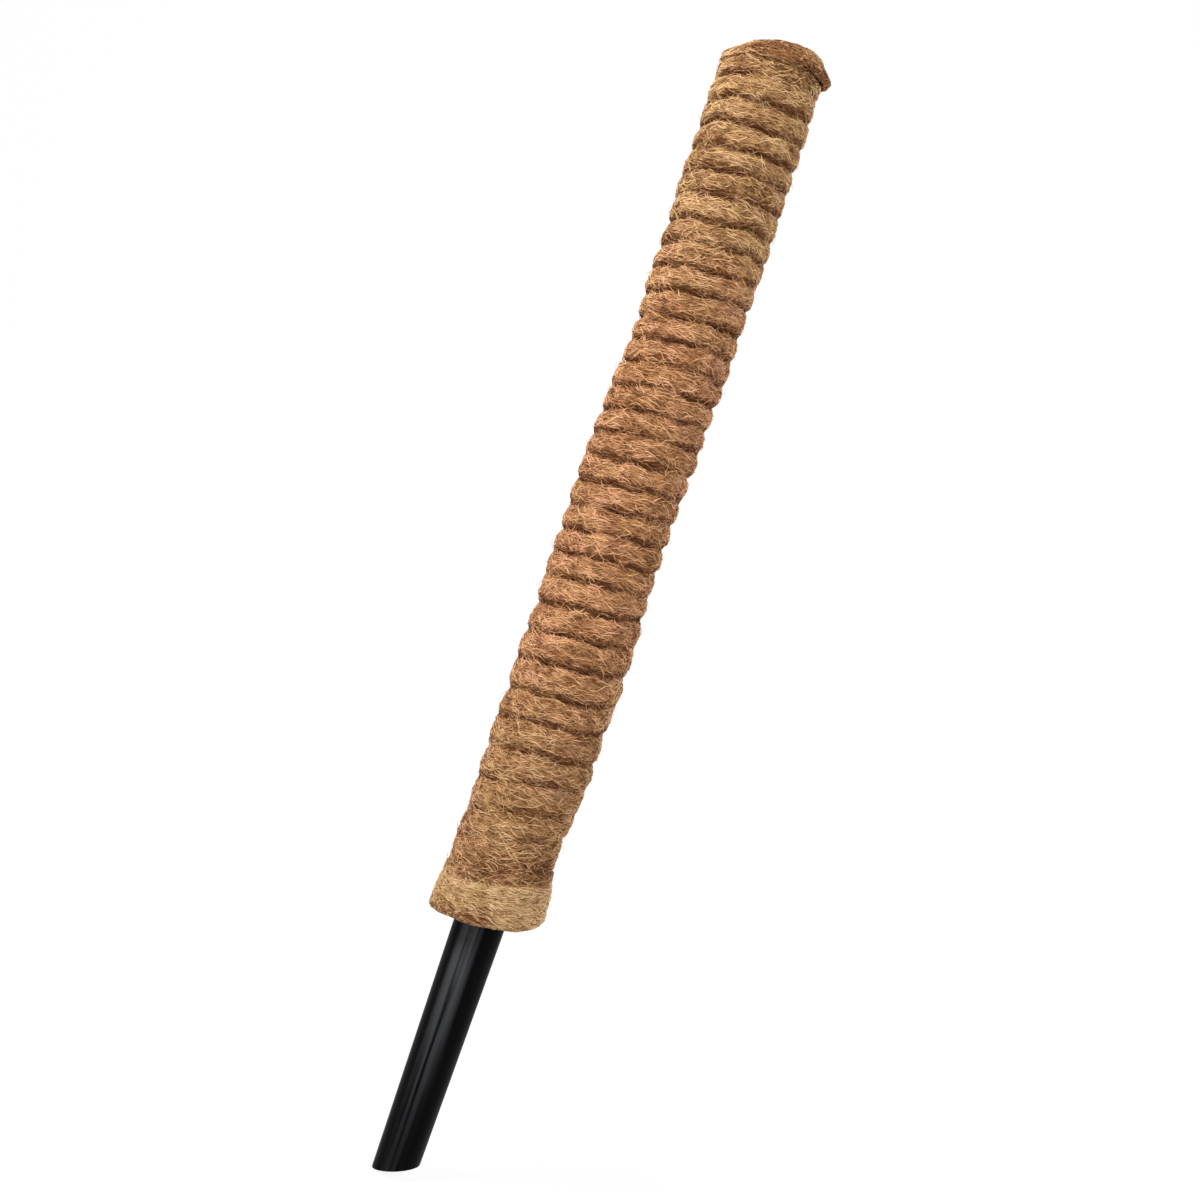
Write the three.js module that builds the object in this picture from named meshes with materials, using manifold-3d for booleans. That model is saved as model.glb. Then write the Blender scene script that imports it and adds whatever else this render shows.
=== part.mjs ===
// A moss pole for climbing plants. A black plastic stake pipe carries two layers of coir matting.
// A line wound round the outer layer in a spiral draws it into ribs. A coir disc closes the top,
// and a folded coir hem, trimmed on the slant, closes the bottom.
// Millimetres, +Z up. The origin is on the pipe's axis at the soil line, in the middle of the
// hem's underside: the pipe below it is the stake that goes into the soil.
import * as THREE from "three";
import { mergeVertices } from "three/addons/utils/BufferGeometryUtils.js";
import Module from "manifold-3d";

const wasm = await Module();
wasm.setup();

// Pipe
const PIPE_OUTER = 17.4; // diameter inside the coir
const PIPE_WALL = 1.5;
const STAKE_LENGTH = 90; // from the soil line to the middle of the tip
const STAKE_TIP_OUTER = 15.1; // the stake narrows evenly to this diameter
const TIP_ANGLE = 20; // degrees between the tip's cut and a square one

// Coir layers
const COIR_LENGTH = 298; // from the soil line to the top of the matting
const INNER_MAT = 3.6; // thickness of the inner layer
const INNER_SEAM = 1.2; // width of the slit where the inner layer's two edges meet
const SLEEVE_WALL = 4.9; // thickness of the outer layer at its ribs
const SHOULDER = 1.2; // rounding of the sleeve's top edge
const WAIST_DRAW = 1; // how far the sleeve draws in above the hem
const WAIST_TAPER = 44; // height over which it does
const NECK_WALL = 1.6; // thickness of the sleeve's lower end, inside the hem

// Hem
const HEM_WALL = 2.7; // thickness of its standing band, at the top
const HEM_FLOOR = 2.5; // thickness of the fold under the matting
const HEM_HEIGHT = 12;
const HEM_FLARE = 1.2; // how far the band flares out below its top
const HEM_EDGE = 2.4; // rounding of its lower edge
const HEM_SLANT = 12; // degrees that the lower end is trimmed out of square
const SLANT_FADE = 50; // height above the hem over which the ribs turn square again

// Cap
const CAP_HEIGHT = 9.4; // rise of its crown over the matting
const CAP_LIP = 2.4; // how far its edge flops out on one side
const CAP_LIP_START = 0.1; // the lip begins where the cosine of the angle from +X is this
const CAP_DROOP = 3.2; // how far the lip hangs below the matting's top
const CAP_SHIFT = 5; // the crown's offset towards the lip
const CAP_ROUNDNESS = 2.6; // power of the crown's section: 2 is round, more is flatter on top
const CAP_STEPS = [0.85, 0.65, 0.4, 0.2]; // shares of its edge's radius where the crown has points

// Winding
const LINE_DIAMETER = 0.6;
const LOWER_TURNS = 9;
const LOWER_PITCH = 10;
const UPPER_PITCH = 8.3;
const FIRST_RIB = 9.2; // height of the smooth band between the hem and the first turn
const TOP_RIB = 2.5; // the least height of the rib above the last turn
const GROOVE_DEPTH = 1.8; // how far the line draws the sleeve in
const RIB_WANDER = 0.55; // how far a turn strays from its spiral
const WANDER_WAVES = [[14.4, 1, 0], [8.9, 0.6, 1]]; // radians per turn, share and start of each wave
const LOWER_DEPTH = 0.6; // share of its depth that the groove has at its start
const DEPTH_TURNS = 5; // turns after which it has all of it
const DEPTH_UNEVEN = 0.2; // share of its depth that comes and goes along it
const DEPTH_WAVE = 11.3; // radians per turn of that
const RUN_OUT = 0.6; // the part of a turn over which the groove runs out at each end
const LINE_TAIL = 0.12; // the part of a turn without line at each end of the groove
const KNOT_SLACK = 0.5; // between the strands that cross in the knots tying off the line

const GAP = 0.3; // between pieces that touch
const ROUND = 40; // facets round a plain circle
const TURN_STEPS = 20; // facets round one turn of the sleeve and the line
const LINE_SIDES = 4;
const KNOT_STEPS = 36;
const BACK = Math.PI / 2; // the angle of the seam and of the line's two ends

// A rib's section: shares of the pitch above a groove, and of the groove's depth left there.
const RIB_STEPS = [0, 0.2, 0.5, 0.8];
const RIB_DROP = [1, 0.3, 0, 0.3];

const pipeRadius = PIPE_OUTER / 2;
const matBore = pipeRadius + GAP;
const matRadius = matBore + INNER_MAT;
const sleeveBore = matRadius + GAP;
const sleeveRadius = sleeveBore + SLEEVE_WALL;
const waistRadius = sleeveRadius - WAIST_DRAW;
const neckRadius = sleeveBore + NECK_WALL;
const hemBore = neckRadius + GAP;
const coirBottom = HEM_FLOOR + GAP;
const neckTop = HEM_HEIGHT + GAP;
const windingStart = neckTop + FIRST_RIB;
const shoulderBottom = COIR_LENGTH - SHOULDER;
const upperStart = windingStart + LOWER_TURNS * LOWER_PITCH;
const upperTurns = Math.floor((shoulderBottom - TOP_RIB - upperStart) / UPPER_PITCH);
const turnCount = LOWER_TURNS + upperTurns;
const lineRadius = LINE_DIAMETER / 2;
const knotLoop = lineRadius + KNOT_SLACK / 2; // the scale of a knot

const coirFinish = { color: 0xa9783f, roughness: 0.95, metalness: 0 };
const pipeFinish = { color: 0x17181a, roughness: 0.42, metalness: 0 };
const lineFinish = { color: 0x6b4a26, roughness: 0.5, metalness: 0 };

function smoothstep(share) {
  const t = Math.min(Math.max(share, 0), 1);
  return t * t * (3 - 2 * t);
}

function radians(degrees) {
  return (degrees * Math.PI) / 180;
}

// A closed mesh as a solid that can be cut, and back.
function solidOf(geometry) {
  const bare = geometry.clone();
  bare.deleteAttribute("normal");
  bare.deleteAttribute("uv");
  const merged = mergeVertices(bare, 1e-4);
  const mesh = new wasm.Mesh({
    numProp: 3,
    vertProperties: merged.attributes.position.array,
    triVerts: new Uint32Array(merged.index.array),
  });
  return new wasm.Manifold(mesh);
}

function subtract(geometry, tool) {
  const mesh = solidOf(geometry).subtract(solidOf(tool)).getMesh();
  return geometryOf(Array.from(mesh.vertProperties), Array.from(mesh.triVerts));
}

function geometryOf(positions, triangles) {
  const geometry = new THREE.BufferGeometry();
  geometry.setAttribute("position", new THREE.Float32BufferAttribute(positions, 3));
  geometry.setIndex(triangles);
  geometry.computeVertexNormals();
  return geometry;
}

// A profile of [radius, height] points, turned about the Z axis.
function revolve(profile) {
  const points = profile.map(([radius, height]) => new THREE.Vector2(radius, height));
  return new THREE.LatheGeometry(points, ROUND).rotateX(Math.PI / 2);
}

function cylinder(radius, bottom, top) {
  return revolve([[0, bottom], [radius, bottom], [radius, top], [0, top]]);
}

// A tube through rings of points, closed by a fan at each end.
function tubeOf(rings) {
  const sides = rings[0].length;
  const triangles = [];
  for (let i = 0; i + 1 < rings.length; i += 1) {
    for (let k = 0; k < sides; k += 1) {
      const a = i * sides + k;
      const b = i * sides + ((k + 1) % sides);
      triangles.push(a, b, b + sides, a, b + sides, a + sides);
    }
  }
  const last = (rings.length - 1) * sides;
  for (let k = 1; k + 1 < sides; k += 1) {
    triangles.push(0, k + 1, k, last, last + k, last + k + 1);
  }
  return geometryOf(rings.flat(2), triangles);
}

// The lower end of the coir is trimmed on the slant, and the ribs above it turn square again.
function slantAt(x, z) {
  return x * Math.tan(radians(HEM_SLANT)) * (1 - smoothstep((z - HEM_HEIGHT) / SLANT_FADE));
}

function slanted(geometry) {
  const position = geometry.attributes.position;
  for (let i = 0; i < position.count; i += 1) {
    const z = position.getZ(i);
    position.setZ(i, z + slantAt(position.getX(i), z));
  }
  geometry.computeVertexNormals();
  return geometry;
}

// The winding: its height, and how deep it draws the sleeve in, at a number of turns from its start.
function windingHeight(turns) {
  const lower = Math.min(turns, LOWER_TURNS) * LOWER_PITCH;
  const upper = Math.max(turns - LOWER_TURNS, 0) * UPPER_PITCH;
  const waves = WANDER_WAVES.map(([rate, share, start]) => share * Math.sin(turns * rate + start));
  const stray = waves.reduce((sum, wave) => sum + wave, 0);
  return windingStart + lower + upper + RIB_WANDER * stray * runOut(turns);
}

function runOut(turns) {
  return smoothstep(turns / RUN_OUT) * smoothstep((turnCount - turns) / RUN_OUT);
}

function grooveDepth(turns) {
  const lowerRibs = LOWER_DEPTH + (1 - LOWER_DEPTH) * smoothstep(turns / DEPTH_TURNS);
  const uneven = 1 + DEPTH_UNEVEN * Math.sin(turns * DEPTH_WAVE);
  return GROOVE_DEPTH * lowerRibs * uneven * runOut(turns);
}

function turnAngle(turns) {
  return BACK + 2 * Math.PI * turns;
}

function crestRadius(z) {
  return waistRadius + (sleeveRadius - waistRadius) * smoothstep((z - neckTop) / WAIST_TAPER);
}

function polar(radius, angle, z) {
  return [radius * Math.cos(angle), radius * Math.sin(angle), z];
}

// The stake pipe runs the whole height. Below the soil line it narrows, and its tip is cut slantwise.
function stakePipe() {
  const tipRadius = STAKE_TIP_OUTER / 2;
  const narrowing = (pipeRadius - tipRadius) / STAKE_LENGTH;
  const spare = PIPE_OUTER; // length beyond the tip that the cut takes off
  const bottom = -STAKE_LENGTH - spare;
  const bottomRadius = tipRadius - narrowing * spare;
  const blank = revolve([
    [bottomRadius - PIPE_WALL, bottom],
    [bottomRadius, bottom],
    [pipeRadius, 0],
    [pipeRadius, COIR_LENGTH],
    [pipeRadius - PIPE_WALL, COIR_LENGTH],
    [pipeRadius - PIPE_WALL, 0],
    [bottomRadius - PIPE_WALL, bottom],
  ]);
  const side = 4 * spare;
  const cut = new THREE.BoxGeometry(side, side, side)
    .translate(0, 0, -side / 2)
    .rotateY(-radians(TIP_ANGLE))
    .translate(0, 0, -STAKE_LENGTH);
  return subtract(blank, cut);
}

// The inner layer is a mat rolled once round the pipe, with a slit where its edges meet.
function innerMat() {
  const outerSlit = Math.asin(INNER_SEAM / 2 / matRadius);
  const innerSlit = Math.asin(INNER_SEAM / 2 / matBore);
  const fullTurn = 2 * Math.PI;
  const section = new THREE.Shape();
  section.absarc(0, 0, matRadius, BACK + outerSlit, BACK + fullTurn - outerSlit, false);
  section.absarc(0, 0, matBore, BACK + fullTurn - innerSlit, BACK + innerSlit, true);
  section.closePath();
  const roll = new THREE.ExtrudeGeometry(section, {
    depth: COIR_LENGTH - coirBottom,
    bevelEnabled: false,
    curveSegments: ROUND,
  });
  return slanted(roll.translate(0, 0, coirBottom));
}

// One point of the ribbed surface: a row counts rib steps from the first groove, a column facets.
function ribPoint(row, column) {
  const step = row % RIB_STEPS.length;
  const share = RIB_STEPS[step];
  const below = Math.floor(row / RIB_STEPS.length) + column / TURN_STEPS;
  const above = below + 1;
  const z = windingHeight(below) * (1 - share) + windingHeight(above) * share;
  const depth = share < 0.5 ? grooveDepth(below) : grooveDepth(above);
  const radius = crestRadius(z) - RIB_DROP[step] * depth;
  return polar(radius, turnAngle(column / TURN_STEPS), z);
}

// The outer sleeve. Its ribs are one strip that climbs a turn each time round, so row r at the end
// of a turn is row r + one rib at its start. Level rings below and above square the strip's ends.
function ribbedSleeve() {
  const rib = RIB_STEPS.length;
  const lastRow = (turnCount - 1) * rib;
  const lowerRings = [
    [neckRadius, coirBottom],
    [neckRadius, neckTop],
    [waistRadius, neckTop + FIRST_RIB / 4],
    [crestRadius(neckTop + FIRST_RIB / 2), neckTop + FIRST_RIB / 2],
  ];
  const upperRings = [
    [sleeveRadius, shoulderBottom],
    [sleeveRadius - SHOULDER, COIR_LENGTH],
  ];
  const positions = [];
  const triangles = [];
  const addRing = ([radius, z]) => {
    const ring = [];
    for (let column = 0; column < TURN_STEPS; column += 1) {
      ring.push(positions.length / 3);
      positions.push(...polar(radius, turnAngle(column / TURN_STEPS), z));
    }
    return ring;
  };
  const quad = (a, b, c, d) => triangles.push(a, b, c, a, c, d);
  const bandBetween = (low, high) => low.forEach((corner, i) => {
    const next = (i + 1) % low.length;
    quad(corner, low[next], high[next], high[i]);
  });
  const lower = lowerRings.map(addRing);
  const first = positions.length / 3;
  for (let row = 0; row <= lastRow + rib; row += 1) {
    const columns = row <= lastRow ? TURN_STEPS : 1;
    for (let column = 0; column < columns; column += 1) {
      positions.push(...ribPoint(row, column));
    }
  }
  const extra = first + (lastRow + 1) * TURN_STEPS; // the seam's points above the last whole row
  const strip = (row, column) => {
    if (column === TURN_STEPS) return strip(row + rib, 0);
    return row <= lastRow ? first + row * TURN_STEPS + column : extra + row - lastRow - 1;
  };
  const upper = upperRings.map(addRing);

  for (let row = 0; row < lastRow; row += 1) {
    for (let column = 0; column < TURN_STEPS; column += 1) {
      quad(strip(row, column), strip(row, column + 1), strip(row + 1, column + 1), strip(row + 1, column));
    }
  }
  const belowStrip = lower[lower.length - 1];
  const aboveStrip = upper[0];
  const end = TURN_STEPS - 1;
  for (let column = 0; column < end; column += 1) {
    quad(belowStrip[column], belowStrip[column + 1], strip(0, column + 1), strip(0, column));
    quad(strip(lastRow, column), strip(lastRow, column + 1), aboveStrip[column + 1], aboveStrip[column]);
  }
  // The cell beside the strip's start takes the whole step of the seam, and so does the one at its end.
  triangles.push(strip(0, end), belowStrip[end], belowStrip[0]);
  triangles.push(strip(0, end), belowStrip[0], strip(0, 0));
  triangles.push(aboveStrip[0], aboveStrip[end], strip(lastRow, end));
  triangles.push(aboveStrip[0], strip(lastRow, end), strip(lastRow + rib, 0));
  for (let row = 0; row < rib; row += 1) {
    triangles.push(strip(0, end), strip(row, 0), strip(row + 1, 0));
    triangles.push(aboveStrip[0], strip(lastRow + row + 1, 0), strip(lastRow + row, 0));
  }
  lower.slice(1).forEach((ring, i) => bandBetween(lower[i], ring));
  bandBetween(upper[0], upper[1]);
  const bottom = lower[0];
  const top = upper[1];
  for (let column = 1; column < end; column += 1) {
    triangles.push(bottom[0], bottom[column + 1], bottom[column]);
    triangles.push(top[0], top[column], top[column + 1]);
  }
  const bore = cylinder(sleeveBore, 0, COIR_LENGTH + coirBottom);
  return slanted(subtract(geometryOf(positions, triangles), bore));
}

// The line lies in the groove: it rests on both flanks, a gap clear of them.
function lineCentre(turns) {
  const pitch = windingHeight(turns + 0.5) - windingHeight(turns - 0.5);
  const flank = Math.atan2(grooveDepth(turns) * (1 - RIB_DROP[1]), RIB_STEPS[1] * pitch);
  const z = windingHeight(turns);
  const radius = crestRadius(z) - grooveDepth(turns) + (lineRadius + GAP) / Math.cos(flank);
  return { radius, z };
}

function windingSteps() {
  const start = Math.ceil(LINE_TAIL * TURN_STEPS);
  const steps = [];
  for (let i = start; i <= turnCount * TURN_STEPS - start; i += 1) steps.push(i / TURN_STEPS);
  return steps;
}

function bindingLine() {
  const rings = windingSteps().map((turns) => {
    const { radius, z } = lineCentre(turns);
    const ring = [];
    for (let k = 0; k < LINE_SIDES; k += 1) {
      const side = (2 * Math.PI * k) / LINE_SIDES;
      const out = radius + lineRadius * Math.cos(side);
      ring.push(polar(out, turnAngle(turns), z - lineRadius * Math.sin(side)));
    }
    return ring;
  });
  return slanted(tubeOf(rings));
}

// The least clear distance between one turn of the line and the next.
function leastLineGap() {
  const points = windingSteps().map((turns) => {
    const { radius, z } = lineCentre(turns);
    const [x, y] = polar(radius, turnAngle(turns), 0);
    return new THREE.Vector3(x, y, z + slantAt(x, z));
  });
  const apart = points.slice(TURN_STEPS).map((point, i) => {
    const near = points.slice(Math.max(i - 2, 0), i + 3);
    return Math.min(...near.map((other) => other.distanceTo(point)));
  });
  return Math.min(...apart) - LINE_DIAMETER;
}

// A trefoil, the closed form of the overhand knot, lying flat: x and y along the surface, z out of it.
class KnotCurve extends THREE.Curve {
  getPoint(share, target = new THREE.Vector3()) {
    const t = 2 * Math.PI * share;
    target.set(Math.sin(t) + 2 * Math.sin(2 * t), Math.cos(t) - 2 * Math.cos(2 * t), -Math.sin(3 * t));
    return target.multiplyScalar(knotLoop);
  }
}

// A knot lies on the sleeve just past one end of the line, on the side that "towards" gives.
function lineKnot(turns, towards) {
  const reach = 3 * knotLoop + lineRadius; // a trefoil's outer radius is three of its loops
  const end = lineCentre(turns);
  const angle = turnAngle(turns) + (towards * (reach + GAP)) / end.radius;
  const radius = crestRadius(end.z) + knotLoop + lineRadius + GAP;
  const knot = new THREE.TubeGeometry(new KnotCurve(), KNOT_STEPS, lineRadius, LINE_SIDES, true);
  knot.rotateX(Math.PI / 2).rotateZ(angle + Math.PI / 2);
  const [x, y] = polar(radius, angle, 0);
  return knot.translate(x, y, end.z + slantAt(x, end.z));
}

// The hem: a coir strip folded under the matting and up round the sleeve's neck.
function foldedHem() {
  const hole = matBore;
  const bandTop = hemBore + HEM_WALL;
  const hemRadius = bandTop + HEM_FLARE;
  const outline = new THREE.Path();
  outline.moveTo(hole, 0);
  outline.lineTo(hemRadius - HEM_EDGE, 0);
  outline.quadraticCurveTo(hemRadius, 0, hemRadius, HEM_EDGE);
  outline.quadraticCurveTo(hemRadius, HEM_HEIGHT - HEM_FLARE, bandTop, HEM_HEIGHT);
  outline.lineTo(hemBore, HEM_HEIGHT);
  outline.lineTo(hemBore, HEM_FLOOR);
  outline.lineTo(hole, HEM_FLOOR);
  outline.closePath();
  const profile = outline.getPoints(4).map((point) => [point.x, point.y]);
  return slanted(revolve(profile));
}

// The cap: a coir disc with a crown that leans to +X, where its edge flops over as a lip.
function coirCap() {
  const under = COIR_LENGTH + GAP;
  const edge = sleeveRadius - SHOULDER / 2;
  const seat = sleeveRadius + GAP;
  const crown = COIR_LENGTH + CAP_HEIGHT;
  const sectionAt = (angle) => {
    const flop = smoothstep((Math.cos(angle) - CAP_LIP_START) / (1 - CAP_LIP_START));
    const rim = edge + CAP_LIP * flop;
    const inside = edge - GAP + (seat - edge + GAP) * flop;
    const lip = under - CAP_DROOP * flop;
    const section = [[inside, under], [(inside + rim) / 2, lip], [rim, lip + CAP_DROOP / 2]];
    const edgeDrop = crown - section[2][1];
    for (const share of CAP_STEPS) {
      section.push([rim * share, crown - edgeDrop * share ** CAP_ROUNDNESS]);
    }
    return section;
  };
  const positions = [0, 0, under, CAP_SHIFT, 0, crown];
  const triangles = [];
  const count = sectionAt(0).length;
  for (let i = 0; i < ROUND; i += 1) {
    const angle = (2 * Math.PI * i) / ROUND;
    sectionAt(angle).forEach(([radius, z]) => {
      const [x, y] = polar(radius, angle, z);
      const rise = Math.max(z - under, 0) / (crown - under);
      positions.push(x + CAP_SHIFT * rise * rise, y, z);
    });
    const here = 2 + i * count;
    const next = 2 + ((i + 1) % ROUND) * count;
    triangles.push(0, next, here, 1, here + count - 1, next + count - 1);
    for (let k = 0; k + 1 < count; k += 1) {
      triangles.push(here + k, next + k, next + k + 1, here + k, next + k + 1, here + k + 1);
    }
  }
  return geometryOf(positions, triangles);
}

function piece(name, geometry, finish) {
  const mesh = new THREE.Mesh(geometry, new THREE.MeshStandardMaterial(finish));
  mesh.name = name;
  return mesh;
}

const lineSteps = windingSteps();
const coir = new THREE.Group();
coir.add(
  piece("inner_coir_mat", innerMat(), coirFinish),
  piece("coir_sleeve", ribbedSleeve(), coirFinish),
  piece("bottom_hem", foldedHem(), coirFinish),
  piece("top_cap", coirCap(), coirFinish),
);

const binding = new THREE.Group();
binding.add(
  piece("binding_line", bindingLine(), lineFinish),
  piece("lower_line_knot", lineKnot(lineSteps[0], -1), lineFinish),
  piece("upper_line_knot", lineKnot(lineSteps[lineSteps.length - 1], 1), lineFinish),
);

const mossPole = new THREE.Group();
mossPole.add(piece("core_pipe", stakePipe(), pipeFinish), coir, binding);

console.log(`binding line: ${turnCount} turns, least gap to itself ${leastLineGap().toFixed(2)} mm`);

export default mossPole;
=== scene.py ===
"""Moss pole: the looks of a coir pole for climbing plants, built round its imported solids.

A black plastic pipe carries two layers of coir matting. A wound line draws the outer layer into
ribs, a coir disc closes the top and a folded coir hem the bottom. Lengths in the formulas are in
millimetres and are scaled to metres where a mesh is made. +Z is up, and the camera looks along +Y.
"""

import math

import bmesh
import bpy
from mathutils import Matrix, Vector, noise


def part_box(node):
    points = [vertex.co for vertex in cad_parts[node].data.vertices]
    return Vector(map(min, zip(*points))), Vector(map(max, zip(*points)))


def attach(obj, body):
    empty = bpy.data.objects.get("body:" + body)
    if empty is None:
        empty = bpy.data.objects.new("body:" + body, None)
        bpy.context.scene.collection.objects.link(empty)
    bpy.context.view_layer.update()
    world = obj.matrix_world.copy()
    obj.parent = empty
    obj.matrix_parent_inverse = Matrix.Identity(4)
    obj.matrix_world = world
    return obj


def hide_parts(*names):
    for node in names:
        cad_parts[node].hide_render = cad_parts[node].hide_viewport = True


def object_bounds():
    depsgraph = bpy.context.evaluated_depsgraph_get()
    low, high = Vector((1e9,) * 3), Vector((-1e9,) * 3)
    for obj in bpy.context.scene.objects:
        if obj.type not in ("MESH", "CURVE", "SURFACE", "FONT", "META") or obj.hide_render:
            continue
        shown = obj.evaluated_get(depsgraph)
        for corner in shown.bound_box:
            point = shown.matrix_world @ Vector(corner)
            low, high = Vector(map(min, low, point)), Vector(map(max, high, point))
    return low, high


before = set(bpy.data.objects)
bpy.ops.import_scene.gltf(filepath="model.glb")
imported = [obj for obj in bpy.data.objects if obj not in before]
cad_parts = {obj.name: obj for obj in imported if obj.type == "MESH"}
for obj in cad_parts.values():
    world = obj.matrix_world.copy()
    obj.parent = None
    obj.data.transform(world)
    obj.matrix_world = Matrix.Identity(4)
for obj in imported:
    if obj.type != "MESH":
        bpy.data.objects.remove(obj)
CAD_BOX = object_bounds()

bl_info = {
    "name": "Moss pole",
    "version": (1, 0, 0),
    "blender": (4, 5, 0),
    "location": "View3D > Sidebar > Moss pole",
    "description": "Builds the pipe, coir layers, winding, hem and cap of a moss pole",
    "category": "Object",
}

MM = 0.001
BACK = math.pi / 2  # the angle of the far side, where the line starts and ends
GAP = 0.3  # between pieces that touch
WELD = 0.001  # points closer than this are one
BODY = "root"
BAKE_MAP = "OFBake"  # a piece's colours are baked through a map of this name
MOST_FACES = 190_000  # triangles in one piece


def highest(node):
    """The top of a CAD node, in millimetres."""
    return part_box(node)[1][2] / MM


def half_depth(node):
    """Half of a CAD node's size from front to back, in millimetres."""
    low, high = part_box(node)
    return (high[1] - low[1]) / 2 / MM


# Properties


def length(name, description, default):
    """A length that a user may change, given here in millimetres and kept in metres."""
    return bpy.props.FloatProperty(
        name=name, description=description, default=default * MM,
        subtype="DISTANCE", unit="LENGTH", precision=5,
    )


def angle(name, description, degrees):
    """An angle that a user may change."""
    return bpy.props.FloatProperty(
        name=name, description=description, default=math.radians(degrees),
        subtype="ANGLE", unit="ROTATION",
    )


def whole(name, description, default):
    """A whole number that a user may change."""
    return bpy.props.IntProperty(name=name, description=description, default=default, min=1)


def colour(name, description, default):
    """A surface colour that a user may change."""
    return bpy.props.FloatVectorProperty(
        name=name, description=description, default=default, size=3,
        subtype="COLOR", min=0.0, max=1.0,
    )


class MossPoleSizes(bpy.types.PropertyGroup):
    """Sizes of the pole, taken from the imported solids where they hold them."""

    pipe_radius: length("Pipe radius", "Outer radius inside the coir", half_depth("core_pipe"))
    pipe_wall: length("Pipe wall", "Thickness of the pipe's wall", 1.5)
    tip_radius: length("Tip radius", "Outer radius of the pipe at its tip", 7.55)
    stake_length: length("Stake length", "From the soil line to the middle of the tip", 90.0)
    tip_angle: angle("Tip angle", "Slant of the tip's cut", 20.0)
    coir_top: length("Coir top", "Height of the matting's upper end", highest("coir_sleeve"))
    sleeve_radius: length("Sleeve radius", "Radius over the ribs", half_depth("coir_sleeve"))
    sleeve_bore: length("Sleeve bore", "Inner radius of the outer layer", 12.9)
    mat_radius: length("Mat radius", "Outer radius of the inner layer", half_depth("inner_coir_mat"))
    waist_radius: length("Waist radius", "Radius of the sleeve above the hem", 16.6)
    waist_taper: length("Waist taper", "Height over which the sleeve narrows to its waist", 44.0)
    waist_flare: length("Waist flare", "How much the sleeve widens again at the hem", 0.9)
    neck_radius: length("Neck radius", "Radius of the sleeve inside the hem", 14.5)
    hem_radius: length("Hem radius", "Radius of the hem at its widest", half_depth("bottom_hem"))
    hem_height: length("Hem height", "Height of the hem's band", 12.0)
    hem_floor: length("Hem floor", "Thickness of the fold under the matting", 2.5)
    slant: angle("Slant", "How far out of square the lower end is trimmed", 12.0)
    slant_fade: length("Slant fade", "Height over which the ribs turn square again", 50.0)
    hem_sag: length("Hem sag", "How far the fold hangs down on its slack side", 2.9)
    cap_top: length("Cap top", "Height of the crown, with its loose fibres", highest("top_cap"))
    cap_lip: length("Cap lip", "How far the cap's edge flops out on one side", 1.7)
    cap_droop: length("Cap droop", "How far the lip hangs down", 1.6)
    cap_shift: length("Cap shift", "The crown's offset towards the lip", 5.5)
    cap_lean: angle("Cap lean", "How far the cap is lower on the side away from its lip", 2.9)
    top_sink: length("Top sink", "How far the coir's top sinks on the side away from the lip", 1.3)


class MossPoleWinding(bpy.types.PropertyGroup):
    """The line that draws the outer layer into ribs."""

    start: length("Start", "Height of the first turn's start", 21.5)
    lower_turns: whole("Lower turns", "Turns at the wide pitch", 9)
    lower_pitch: length("Lower pitch", "Rise of a lower turn", 10.0)
    upper_turns: whole("Upper turns", "Turns at the close pitch", 22)
    upper_pitch: length("Upper pitch", "Rise of an upper turn", 8.3)
    groove_depth: length("Groove depth", "How far the line draws the sleeve in", 2.7)
    wander: bpy.props.FloatProperty(
        name="Wander", description="How far a turn strays from its spiral, in turns", default=0.26
    )
    line_radius: length("Line radius", "Half the line's thickness", 0.3)


class MossPoleFibres(bpy.types.PropertyGroup):
    """The loose coir fibres that lie over the matting."""

    sleeve_pieces: whole("Sleeve layers", "Layers of fibres over the sleeve", 5)
    thickness: length("Thickness", "Radius of a fibre", 0.18)
    fibre_length: length("Length", "Usual length of a fibre", 7.5)
    seed: whole("Seed", "Seed of everything scattered", 7)


class MossPoleFinishes(bpy.types.PropertyGroup):
    """Colours of the pole's materials."""

    upper_coir: colour("Upper coir", "Olive tan of the top quarter", (0.44, 0.255, 0.104))
    middle_coir: colour("Middle coir", "Reddish brown of the middle", (0.445, 0.222, 0.094))
    lower_coir: colour("Lower coir", "Brown of the lower quarter", (0.4, 0.218, 0.09))
    hem_coir: colour("Hem coir", "Yellow tan of the hem", (0.43, 0.262, 0.11))
    # Dark coir colours the dark strands and, with red coir, the painted shade by the grooves, over the
    # hem and under the cap.
    dark_coir: colour("Dark coir", "Brown of the deep creases", (0.11, 0.034, 0.009))
    red_coir: colour("Red coir", "Brown of single strands in the creases", (0.25, 0.105, 0.04))
    pipe_black: colour("Pipe black", "Black of the plastic pipe", (0.0013, 0.0014, 0.0017))
    # Pipe grey colours the streaks, the worn sides and the painted highlight towards the camera.
    pipe_grey: colour("Pipe grey", "Grey of the pipe's streaks", (0.042, 0.043, 0.046))
    line_brown: colour("Line brown", "Brown of the binding line", (0.13, 0.055, 0.02))


class Millimetres:
    """A property group's values, with each length in millimetres."""

    def __init__(self, group):
        self.group = group

    def __getattr__(self, name):
        value = getattr(self.group, name)
        return value / MM if self.group.bl_rna.properties[name].unit == "LENGTH" else value


def sizes():
    """The pole's sizes."""
    return Millimetres(bpy.context.scene.moss_pole_sizes)


def winding():
    """The winding's values."""
    return Millimetres(bpy.context.scene.moss_pole_winding)


def fibres():
    """The fibres' values."""
    return Millimetres(bpy.context.scene.moss_pole_fibres)


def finishes():
    """The materials' colours."""
    return bpy.context.scene.moss_pole_finishes


# Formulas in node trees


def feed(tree, entry, value):
    """Links a field to a socket, or sets the socket to a plain value."""
    if isinstance(value, Field):
        tree.links.new(value.socket, entry)
    else:
        entry.default_value = value


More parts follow.
